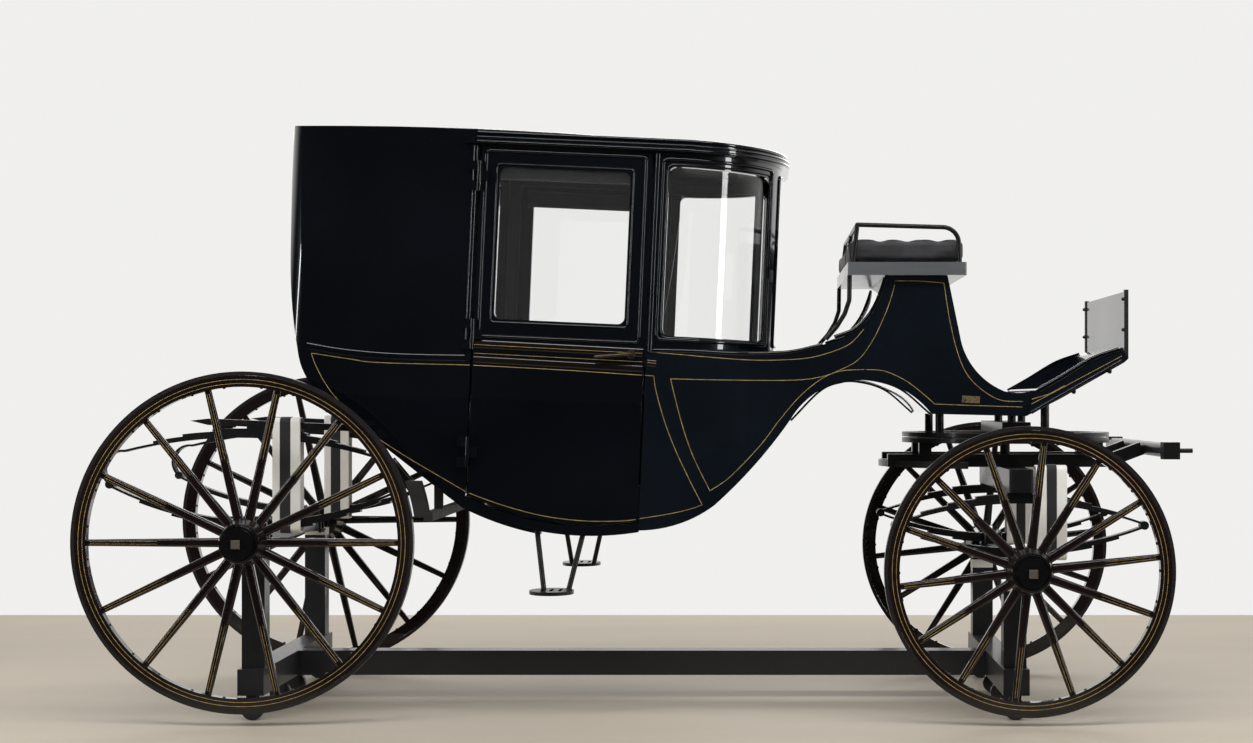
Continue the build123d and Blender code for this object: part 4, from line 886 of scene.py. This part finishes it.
NAVE_RINGS = (
    (0.608, 0.0600, 0.0035), (0.668, 0.0780, 0.003), (0.708, 0.0780, 0.003), (0.7723, 0.0630, 0.0040),
    (0.7783, 0.0585, 0.0020),
)
NAVE_LINES = ((0.676, 0.0782, 0.0013), (0.698, 0.0782, 0.0013))

# Rings of the nut's face: share of the corners' reach, and height over the cap's end in metres

NUT_STEPS = ((0.98, -0.001), (0.98, 0.0008), (0.86, 0.0022))


def rays(angle):
    """Directions in a wheel's plane: cos along X and sin along Z."""
    return np.stack((np.cos(angle), np.zeros_like(angle), np.sin(angle)), -1)


def rings(centre, side, rows):
    """Tori round a wheel's axis: circles of a thickness carried round at a radius."""
    ray = rays(np.linspace(0, 2 * np.pi, 48, endpoint=False))
    middle = centre * (1, 0, 1)
    return [
        carry(middle + (0.0, side * y, 0.0) + ray * radius, ray, round_profile(thick), closed=True)
        for y, radius, thick in rows
    ]


def nut_face(name, side):
    """Worn face on the square end of a hub cap: its own corners, drawn in a little and raised."""
    points = read_points(NODES["hub_cap_" + name].data)
    end = side * (points[:, 1] * side).max()
    front = np.unique(np.round(points[np.abs(points[:, 1] - end) < 1e-5], 5), axis=0)
    middle = front.mean(0)
    ray = front - middle
    ray = ray[np.argsort(np.arctan2(ray[:, 2], ray[:, 0]))]
    return np.stack([middle + ray * share + (0.0, side * out, 0.0) for share, out in NUT_STEPS])


class CARRIAGE_OT_wheels(bpy.types.Operator):
    """Line the felloes and spokes, and add bolts, bands and cap rings to the wheels"""
    bl_idname = "carriage.wheels"
    bl_label = "Wheels"

    def execute(self, context):
        s = sizes()
        felloe_band = flat_band(s.wheel_line, s.line_height)
        spoke_band = flat_band(s.wheel_line * 0.7, s.line_height, 0.002)
        circle = rays(np.linspace(0, 2 * np.pi, 160, endpoint=False))
        for name in WHEELS:
            low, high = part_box("tyre_" + name)
            centre = np.array((low + high) / 2)
            side = 1 if centre[1] > 0 else -1
            out = np.array([0.0, side, 0.0])
            felloe = (high[0] - low[0]) / 2 - TYRE_DEPTH
            inner = felloe - FELLOE_DEPTH
            felloe_lines = []
            for share in FELLOE_LINES:
                path = centre + out * FELLOE_FACE + circle * (inner + FELLOE_DEPTH * share)
                felloe_lines.append(carry(path, np.broadcast_to(out, path.shape), felloe_band, closed=True))
            hub = np.array([centre[0], side * HUB_MIDDLE, centre[2]])
            phase = 0.0 if name.startswith("rear") else FRONT_PHASE
            lines, bolts = [], []
            for angle in phase + np.arange(SPOKES) * 2 * np.pi / SPOKES:
                spoke = rays(angle)
                foot = hub + spoke * SPOKE_FOOT + out * SPOKE_FACE_FOOT
                top = centre + spoke * (inner - SPOKE_TOP) + out * SPOKE_FACE_TOP
                aside = np.cross(out, spoke)
                for edge in (-1, 1):
                    ends = (foot + aside * edge * LINE_ASIDE_FOOT, top + aside * edge * LINE_ASIDE_TOP)
                    path = even_steps(np.array(ends), 12)
                    lines.append(carry(path, np.broadcast_to(out, path.shape), spoke_band))
                for turn in (-BOLT_TURN, BOLT_TURN):
                    inward = -rays(angle + turn)
                    place = centre - inward * (inner + 0.0003)
                    bolts.append(dome(s.bolt_radius, 0.004, place, inward, s.dome_sides))
            body = f"wheel_{name}_body"
            build(f"felloe_lines_{name}", felloe_lines, "gold_line", body, ring=True)
            build(f"nave_rings_{name}", rings(centre, side, NAVE_RINGS), "hub_black", body, ring=True)
            build(f"nave_lines_{name}", rings(centre, side, NAVE_LINES), "gold_line", body, ring=True)
            build(f"spoke_lines_{name}", lines, "gold_line", body)
            build(f"felloe_bolts_{name}", bolts, "hub_black", body)
            build(f"cap_nut_{name}", [nut_face(name, side)], "worn_iron", body)
        return {"FINISHED"}


# Inside of the cabin: strips on the wall's inner face, in metres of the body frame

WALL_INSIDE = 0.034
STOP_THICK = 0.007
BLIND_BOX = ([(-0.540, 1.210), (-0.052, 1.210)], 0.062, 0.028)
STOP_STRIPS = (
    ([(-0.592, 0.560), (-0.592, 1.300)], 0.046),
    ([(-0.008, 0.560), (-0.008, 1.300)], 0.050),
    ([(-0.612, 1.291), (0.014, 1.291)], 0.060),
    ([(0.394, 0.600), (0.394, 1.300)], 0.042),
    ([(0.016, 1.274), (0.400, 1.274)], 0.044),
    ([(-0.004, 0.045), (-0.004, 0.150)], 0.050),
)


def inside_strip(points, side, width, thick):
    """Flat strip on the inner face of the wall: its profile points inwards from the face."""
    line = even_steps(np.asarray(points, float), 40)
    path, normal = wall(run_at(line[:, 0]), line[:, 1], side, -WALL_INSIDE)
    return carry(path, normal, flat_band(width, thick, 0.0) * (1.0, -1.0))


class CARRIAGE_OT_lining(bpy.types.Operator):
    """Line the cabin's pillars, add the door stops and the blind boxes"""
    bl_idname = "carriage.lining"
    bl_label = "Lining"

    def execute(self, context):
        strips = []
        points, width, thick = BLIND_BOX
        for name, side in SIDES.items():
            strips += [inside_strip(line, side, wide, STOP_THICK) for line, wide in STOP_STRIPS]
            blind = inside_strip(points, side, width, thick)
            build(f"blind_box_{name}", [blind], "lining", f"door_{name}_body")
        build("door_stops", strips, "lining", "root")
        return {"FINISHED"}


# Small fittings, in millimetres of the body frame: the arch's lip, the toe board's bolts, the plate's middle and size;
# in metres: the plate's thickness, the dashboard bolts' heights and their post, the direction under the toe board

ARCH_LIP = [(500, 400), (599, 508), (676, 542), (760, 554), (874, 527), (986, 443)]
TOE_BOLTS = ((1475, 543.6), (1596, 619))
PLATE = (1121, 498, 62, 24)
PLATE_THICK = 0.0018
DASH_BOLT_HEIGHTS = (1.330, 1.436)
POST_HALF = 0.0075
TOE_UNDER = (0.53, 0.0, -0.85)


def lip(points, side):
    """Lip under the boot's arch: a low band whose normal is the outline's own, pointing down."""
    line = drawn(points, 60)
    step = unit(np.gradient(line, axis=0))
    path = to_level(np.stack((line[:, 0], side * (boot_half(line[:, 0]) - 0.005), line[:, 1]), -1))
    down = turn_level(np.stack((step[:, 1], np.zeros(len(step)), -step[:, 0]), -1))
    return carry(path, down, flat_band(0.009, 0.006))


class CARRIAGE_OT_fittings(bpy.types.Operator):
    """Add the arch's lips, the bolts of the dashboard and toe board, and the blank brass plate"""
    bl_idname = "carriage.fittings"
    bl_label = "Fittings"

    def execute(self, context):
        sides = sizes().dome_sides
        build("arch_lips", [lip(ARCH_LIP, side) for side in SIDES.values()], "moulding_black", "root")
        low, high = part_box("dashboard")
        under = turn_level(np.array(TOE_UNDER))
        bolts = []
        for side in SIDES.values():
            post = side * (high[1] - POST_HALF)
            bolts += [dome(0.007, 0.009, (low[0], post, z), (-1, 0, 0), sides) for z in DASH_BOLT_HEIGHTS]
            places = [to_level(np.array([x * MM, side * 0.425, z * MM])) for x, z in TOE_BOLTS]
            bolts += [dome(0.009, 0.012, place, under, sides) for place in places]
        build("dash_bolts", bolts, "gear_black", "root")
        x, z, length, height = PLATE
        plate = boot_line([(x - length / 2, z), (x + length / 2, z)], -1, flat_band(height * MM, PLATE_THICK), 4)
        corners = np.array([(a, b) for a in (-1, 1) for b in (-1, 1)]) * (length / 2 - 4, height / 2 - 4)
        places, outs = boot_wall((x + corners[:, 0]) * MM, (z + corners[:, 1]) * MM, -1, PLATE_THICK)
        screws = [dome(0.0018, 0.0008, place, out, sides) for place, out in zip(places, outs)]
        build("boot_plate", [plate], "plate_brass", "root")
        build("boot_plate_screws", screws, "handle_brass", "root")
        return {"FINISHED"}


# Ironwork of the springs, and the foam and straps that tie them to the stand, in metres: the piece's name and body,
# then for a sleeve its x and width, its strap's x and width, its distance from the middle and its lowest and highest
# points, and for a clip its x, its distance from the middle and the axle's height

SLEEVES = (
    ("rear", "root", -1.214, 0.096, -1.218, 0.038, 0.450, 0.636, 1.021),
    ("front", "fore_carriage", 1.417, 0.108, 1.418, 0.036, 0.430, 0.540, 0.856),
)
CLIPS = (("rear", "root", -1.310, 0.450, 0.612), ("front", "fore_carriage", 1.310, 0.430, 0.515))
CLIP_HALF = 0.0275


def across_band(x, line):
    """Path across the carriage at x from places in y and z."""
    return np.stack((np.full(len(line), x), line[:, 0], line[:, 1]), -1)


def round_spring(x, y, z_low, z_high, width, thick, half=0.027):
    """Band round a spring: a rounded rectangle across the carriage, its thickness pointing out."""
    path = across_band(x, rounded_loop((y - half, z_low), (y + half, z_high), 0.012))
    step = unit(np.roll(path, -1, 0) - np.roll(path, 1, 0))
    normal = np.stack((np.zeros(len(step)), step[:, 2], -step[:, 1]), -1)
    return carry(path, normal, flat_band(width, thick, 0.0), closed=True)


def u_bolt(x, y, low, high, bend=0.012):
    """Bent rod: up one side, round two quarter circles and down the other."""
    t = np.linspace(0, np.pi / 2, 5)
    left = np.stack((y - CLIP_HALF + bend * (1 - np.cos(t)), high - bend * (1 - np.sin(t))), 1)
    right = np.stack((2 * y - left[::-1, 0], left[::-1, 1]), 1)
    line = np.vstack(([(y - CLIP_HALF, low)], left, right, [(y + CLIP_HALF, low)]))
    return rod(across_band(x, line), round_profile(0.0045), (1.0, 0.0, 0.0))


class CARRIAGE_OT_springs(bpy.types.Operator):
    """Clip the springs to the axles, and add the foam sleeves and straps of the stand"""
    bl_idname = "carriage.springs"
    bl_label = "Springs"

    def execute(self, context):
        for name, body, x, reach, axle in CLIPS:
            parts, nuts = [], []
            for y in (side * reach for side in SIDES.values()):
                for bolt in (x - 0.031, x + 0.031):
                    parts.append(u_bolt(bolt, y, axle - 0.036, axle + 0.065))
                    for edge in (-CLIP_HALF, CLIP_HALF):
                        nuts.append(dome(0.008, 0.007, (bolt, y + edge, axle - 0.029), (0, 0, -1), 6))
                plate = [(x + shift, y, axle - 0.0255) for shift in (-0.042, 0.0, 0.042)]
                parts.append(rod(plate, box_profile(0.066, 0.006, 0.001), (0.0, 0.0, 1.0)))
            build(f"spring_clips_{name}", parts, "gear_black", body)
            build(f"spring_clip_nuts_{name}", nuts, "gear_black", body)
        for name, body, x, width, strap_x, strap, reach, low, high in SLEEVES:
            reaches = [side * reach for side in SIDES.values()]
            sleeves = [round_spring(x, y, low, high, width, 0.006) for y in reaches]
            straps = [round_spring(strap_x, y, low, high, strap, 0.0082) for y in reaches]
            build(f"foam_sleeves_{name}", sleeves, "stand_foam", body, ring=True)
            build(f"sleeve_straps_{name}", straps, "webbing", body, ring=True)
        return {"FINISHED"}


# Cushions

def pillow(low, high, edge=0.30):
    """Crowned block: half sizes times the signed powers of cos and sin of two angles, low powers for a boxy form."""
    half, centre = (high - low) / 2, (high + low) / 2
    u = np.linspace(-np.pi / 2, np.pi / 2, 26)[:, None]
    v = np.linspace(0, 2 * np.pi, 72, endpoint=False)[None]

    def power(a, e):
        return np.sign(a) * np.where(np.abs(a) < 1e-9, 0.0, np.abs(a) ** e)

    x = power(np.cos(u), edge) * power(np.cos(v), edge * 0.6)
    y = power(np.cos(u), edge) * power(np.sin(v), edge * 0.6)
    z = power(np.sin(u), edge * 1.6) * np.ones_like(v)
    return centre + np.stack((x, y, z), -1) * half


def hollow_sides(points, centre, half, depth):
    """Sides pulled in between the corners: each side moves in by depth times the cosine of the place along it."""
    q = (points - centre) / half
    moved = points.copy()
    for k, along in ((0, 1), (1, 0)):
        pull = depth * np.cos(np.clip(q[:, along], -1, 1) * np.pi / 2) * np.abs(q[:, k]) ** 6
        moved[:, k] -= np.sign(q[:, k]) * pull
    return moved


def read_points(mesh):
    """Points of a mesh as an array."""
    points = np.empty(len(mesh.vertices) * 3)
    mesh.vertices.foreach_get("co", points)
    return points.reshape(-1, 3)


def settle(piece):
    """The piece's mesh with its modifiers applied, at the frame that the scene stands at."""
    graph = bpy.context.evaluated_depsgraph_get()
    return bpy.data.meshes.new_from_object(piece.evaluated_get(graph))


def inflate(piece, voxel, cap):
    """Voxel remesh, then twenty frames of cloth under pressure with no gravity, each point held to the cap."""
    remesh = piece.modifiers.new("Remesh", "REMESH")
    remesh.mode = "VOXEL"
    remesh.voxel_size = voxel
    mesh = settle(piece)
    piece.modifiers.clear()
    piece.data = mesh
    start = read_points(mesh)
    soft = piece.modifiers.new("Cloth", "CLOTH")
    soft.settings.use_pressure = True
    soft.settings.uniform_pressure_force = 4.0
    soft.settings.effector_weights.gravity = 0
    soft.settings.quality = 4
    soft.collision_settings.use_collision = False
    scene = bpy.context.scene
    for number in range(1, 21):
        scene.frame_set(number)
    move = read_points(settle(piece)) - start
    piece.modifiers.clear()
    scene.frame_set(1)
    length = np.linalg.norm(move, axis=1)[:, None]
    return start + move * np.minimum(1.0, cap / np.maximum(length, 1e-9))


def finish_pad(piece, points, look, node):
    """Points into the mesh, one subdivision, smooth shading, and what the frame needs to know."""
    piece.data.vertices.foreach_set("co", points.astype(np.float32).ravel())
    piece.data.update()
    subdivision = piece.modifiers.new("Subdivision", "SUBSURF")
    subdivision.levels = subdivision.render_levels = 1
    mesh = settle(piece)
    piece.modifiers.clear()
    piece.data = mesh
    mesh.shade_smooth()
    mesh.materials.clear()
    mesh.materials.append(MATERIALS[look])
    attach(piece, "root")
    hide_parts(node)


def pad_piece(name, grid):
    """Closed pad from a grid whose first and last rows are points."""
    mesh = bpy.data.meshes.new(name)
    faces = grid_faces(*grid.shape[:2], 0, False)
    mesh.from_pydata(grid.reshape(-1, 3).tolist(), [], faces.tolist())
    clean(mesh, 1e-5)
    return put(name, mesh)


SEAT_ROWS = (0.828, 0.924, 1.030)
SEAT_BUTTONS = (-0.36, -0.24, -0.12, 0.0, 0.12, 0.24, 0.36)
BACK_BUTTONS = [(a, b) for b in np.linspace(0.46, 0.82, 3) for a in np.linspace(-0.36, 0.36, 5)]


class CARRIAGE_OT_driver_cushion(bpy.types.Operator):
    """Stuff the driver's cushion, flat below, with rows of buttons on top"""
    bl_idname = "carriage.driver_cushion"
    bl_label = "Driver's Cushion"

    def execute(self, context):
        s = sizes()
        low, high = (np.array(corner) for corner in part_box("driver_cushion"))
        low[0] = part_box("driver_seat_board")[0][0] + 0.004
        centre, half = (low + high) / 2, (high - low) / 2
        block = pillow(low + (0.004, 0.004, 0), high - (0.004, 0.004, 0.006), 0.09)
        piece = pad_piece("driver_seat_pad", block)
        points = inflate(piece, s.cushion_voxel, s.cushion_cap)
        seen_low, seen_high = points.min(0), points.max(0)
        points = low + (points - seen_low) / (seen_high - seen_low) * (high - low + (0.0, 0.0, 0.004))
        points = hollow_sides(points, centre, half, 0.003)
        top = np.clip((points[:, 2] - centre[2]) / half[2], 0, 1) ** 3
        for x in SEAT_ROWS:
            across = (points[:, 0] - x) ** 2
            points[:, 2] -= 0.007 * np.exp(-across / 0.022**2) * top
            for y in SEAT_BUTTONS:
                points[:, 2] -= 0.008 * np.exp(-(across + (points[:, 1] - y) ** 2) / 0.026**2) * top
        notch = 0.046 * np.exp(-((points[:, 1] / 0.024) ** 4))
        points[:, 0] = np.clip(points[:, 0], low[0] + notch, high[0] + 0.004)
        points[:, 1] = np.clip(points[:, 1], low[1] - 0.004, high[1] + 0.004)
        points[:, 2] = np.clip(points[:, 2], low[2], high[2] + 0.006)
        finish_pad(piece, points, "black_leather", "driver_cushion")
        places = [(x, y, high[2] - 0.016) for x in SEAT_ROWS for y in SEAT_BUTTONS]
        domes = [dome(0.010, 0.004, place, (0, 0, 1), s.dome_sides) for place in places]
        build("driver_seat_buttons", domes, "black_leather", "root")
        return {"FINISHED"}


def body_pad(name, node, margin, order, buttons=()):
    """Pad in the leaning body frame: pillow in body places, buttons as dips of a bell curve round each one."""
    s = sizes()
    points = to_body(read_points(NODES[node].data))
    low, high = points.min(0), points.max(0)
    grid = pillow(low[order] + margin, high[order] - margin)
    piece = pad_piece(name, to_level(grid[..., np.argsort(order)]))
    moved = to_body(inflate(piece, s.cushion_voxel * 1.6, s.cushion_cap))
    i, j, k = order
    face = np.clip((moved[:, k] - (low[k] + high[k]) / 2) / ((high[k] - low[k]) / 2), 0, 1) ** 0.5
    for a, b in buttons:
        far = (moved[:, i] - a) ** 2 + (moved[:, j] - b) ** 2
        moved[:, k] -= 0.022 * np.exp(-far / 0.03**2) * face
    moved = np.minimum(np.maximum(moved, low - 0.004), high + 0.006)
    finish_pad(piece, to_level(moved), "interior_cloth", node)
    return high


class CARRIAGE_OT_cabin_cushions(bpy.types.Operator):
    """Stuff the passengers' cushion and the buttoned backrest"""
    bl_idname = "carriage.cabin_cushions"
    bl_label = "Cabin Cushions"

    def execute(self, context):
        body_pad("passenger_seat_pad", "passenger_cushion", 0.006, [0, 1, 2])
        high = body_pad("passenger_back_pad", "passenger_backrest", 0.005, [1, 2, 0], BACK_BUTTONS)
        toward = turn_level(np.array([1.0, 0.0, 0.0]))
        places = [to_level(np.array([high[0] - 0.018, a, b])) for a, b in BACK_BUTTONS]
        domes = [dome(0.009, 0.005, place, toward, sizes().dome_sides) for place in places]
        build("back_pad_buttons", domes, "interior_cloth", "root")
        return {"FINISHED"}


# Stage: the camera's place in metres, and the photograph's size, focal length and level point in its pixels

CAMERA_PLACE = (0.389, -7.928, 1.087)
PHOTO_WIDTH, PHOTO_HEIGHT, FOCAL = 1253, 743, 2168
LEVEL_X, LEVEL_Y = 753, 400
SENSOR = 36.0
WALL_SEEN = 0.872
WALL_TINT = (1.0, 0.993, 0.978, 1)


class CARRIAGE_OT_stage(bpy.types.Operator):
    """Set the floor, soft lights, plain surroundings and the camera"""
    bl_idname = "carriage.stage"
    bl_label = "Stage"

    def execute(self, context):
        scene = context.scene
        make_floor(scene.carriage_stage)
        make_world(scene.carriage_stage)
        make_lamps()
        camera = put("Camera", bpy.data.cameras.new("Camera"))
        camera.location = CAMERA_PLACE
        camera.rotation_euler = (math.pi / 2, 0, 0)
        camera.data.sensor_width = SENSOR
        camera.data.lens = FOCAL / PHOTO_WIDTH * SENSOR
        camera.data.shift_x = (PHOTO_WIDTH / 2 - LEVEL_X) / PHOTO_WIDTH
        camera.data.shift_y = (LEVEL_Y - PHOTO_HEIGHT / 2) / PHOTO_WIDTH
        camera.data.clip_end = 200
        scene.camera = camera
        scene.view_settings.view_transform = "Standard"
        return {"FINISHED"}


def make_floor(stage):
    """Flat mottled floor: even steps of x across and y along; gloss mirrors its part in front of the carriage dark."""
    across, along = np.meshgrid(
        np.linspace(-stage.floor_half, stage.floor_half, 9), np.linspace(-16.0, stage.floor_back, 9)
    )
    points = np.stack((across, along, np.zeros((9, 9))), -1).reshape(-1, 3)
    i, j = np.meshgrid(np.arange(8), np.arange(8), indexing="ij")
    faces = np.stack((i * 9 + j, i * 9 + j + 1, (i + 1) * 9 + j + 1, (i + 1) * 9 + j), -1).reshape(-1, 4)
    mesh = bpy.data.meshes.new("floor")
    mesh.from_pydata(points.tolist(), [], faces.tolist())
    material, tree = new_material("Floor")
    mottle = ramp(tree, noise(tree, 0.9, 5.0, 0.6, (0.35, 1.0, 1.0)), 0.3, 0.7)
    base = np.array(paint().floor)
    finish(material, mix(tree, mottle, base * 0.93, base * 1.07), 0.62, Specular_IOR_Level=0.15)
    near = ramp(tree, split(tree, place_of(tree))["Y"], -1.1, -1.9)
    dark = add(tree, "BsdfDiffuse", {"Color": (0.03, 0.03, 0.032, 1)}).outputs[0]
    share = times(tree, near, add(tree, "LightPath").outputs["Is Glossy Ray"])
    both = add(tree, "MixShader", {0: share, 1: tree.nodes["Principled BSDF"].outputs[0], 2: dark}).outputs[0]
    tree.links.new(both, tree.nodes["Material Output"].inputs["Surface"])
    mesh.materials.append(material)
    put("floor", mesh)


def make_world(stage):
    """White surroundings seen straight or through glass; gloss mirrors a white wall at +Y and a dim room at -Y."""
    world = bpy.data.worlds.new("Studio")
    bpy.context.scene.world = world
    world.use_nodes = True
    tree = world.node_tree
    tree.nodes.clear()
    path = add(tree, "LightPath").outputs
    direction = add(tree, "TexCoord").outputs["Generated"]
    mirrored = ramp(tree, split(tree, direction)["Y"], -0.05, 0.3, stage.dim, stage.glow)
    seen = maths(tree, "MAXIMUM", path["Is Camera Ray"], path["Is Transmission Ray"])
    unseen = maths(tree, "SUBTRACT", 1.0, seen)
    glossy = times(tree, path["Is Glossy Ray"], unseen)
    rest = maths(tree, "SUBTRACT", unseen, glossy, True)
    strength = plus(tree, times(tree, seen, WALL_SEEN), times(tree, glossy, mirrored))
    strength = plus(tree, strength, times(tree, rest, stage.fill))
    back = add(tree, "Background", {"Color": WALL_TINT, "Strength": strength}).outputs[0]
    feed(tree, add(tree, "OutputWorld").inputs, {"Surface": back})


# Place, width and height in metres and power in watts of each lamp

LAMP_TARGET = Vector((0.0, 0.0, 0.9))
LAMPS = {
    "key_above": ((0.2, -3.4, 4.6), (7.0, 0.7), 175.0),
    "side_left": ((-6.0, -3.5, 2.4), (0.35, 3.0), 75.0),
    "side_right": ((6.5, -3.0, 2.4), (0.75, 3.0), 90.0),
    "behind": ((0.0, 5.0, 3.6), (7.0, 2.0), 130.0),
}


def make_lamps():
    """Large soft lamps, each turned to look at the carriage."""
    for name, (place, size, power) in LAMPS.items():
        data = bpy.data.lights.new(name, "AREA")
        data.shape = "RECTANGLE"
        data.size, data.size_y = size
        data.energy = power
        lamp = put(name, data)
        lamp.location = place
        lamp.rotation_euler = (LAMP_TARGET - Vector(place)).to_track_quat("-Z", "Y").to_euler()


class CARRIAGE_PT_panel(bpy.types.Panel):
    bl_label = "Carriage"
    bl_idname = "CARRIAGE_PT_panel"
    bl_space_type = "VIEW_3D"
    bl_region_type = "UI"
    bl_category = "Carriage"

    def draw(self, context):
        layout = self.layout
        for group in (getattr(context.scene, name) for name in SETTINGS):
            box = layout.box()
            for key in group.__annotations__:
                box.prop(group, key)
        for operator in OPERATORS:
            layout.operator(operator.bl_idname)


OPERATORS = (
    CARRIAGE_OT_stage,
    CARRIAGE_OT_finishes,
    CARRIAGE_OT_body_lines,
    CARRIAGE_OT_mouldings,
    CARRIAGE_OT_lining,
    CARRIAGE_OT_fittings,
    CARRIAGE_OT_wheels,
    CARRIAGE_OT_springs,
    CARRIAGE_OT_driver_cushion,
    CARRIAGE_OT_cabin_cushions,
)
SETTINGS = {"carriage_paint": CarriagePaint, "carriage_sizes": CarriageSizes, "carriage_stage": CarriageStage}
CLASSES = (*SETTINGS.values(), *OPERATORS, CARRIAGE_PT_panel)


def register():
    for item in CLASSES:
        bpy.utils.register_class(item)
    for name, item in SETTINGS.items():
        setattr(bpy.types.Scene, name, PointerProperty(type=item))


def unregister():
    for name in SETTINGS:
        delattr(bpy.types.Scene, name)
    for item in reversed(CLASSES):
        bpy.utils.unregister_class(item)


def main():
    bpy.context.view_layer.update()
    register()
    for operator in OPERATORS:
        getattr(bpy.ops.carriage, operator.bl_idname.split(".")[1])()


if __name__ == "__main__":
    main()
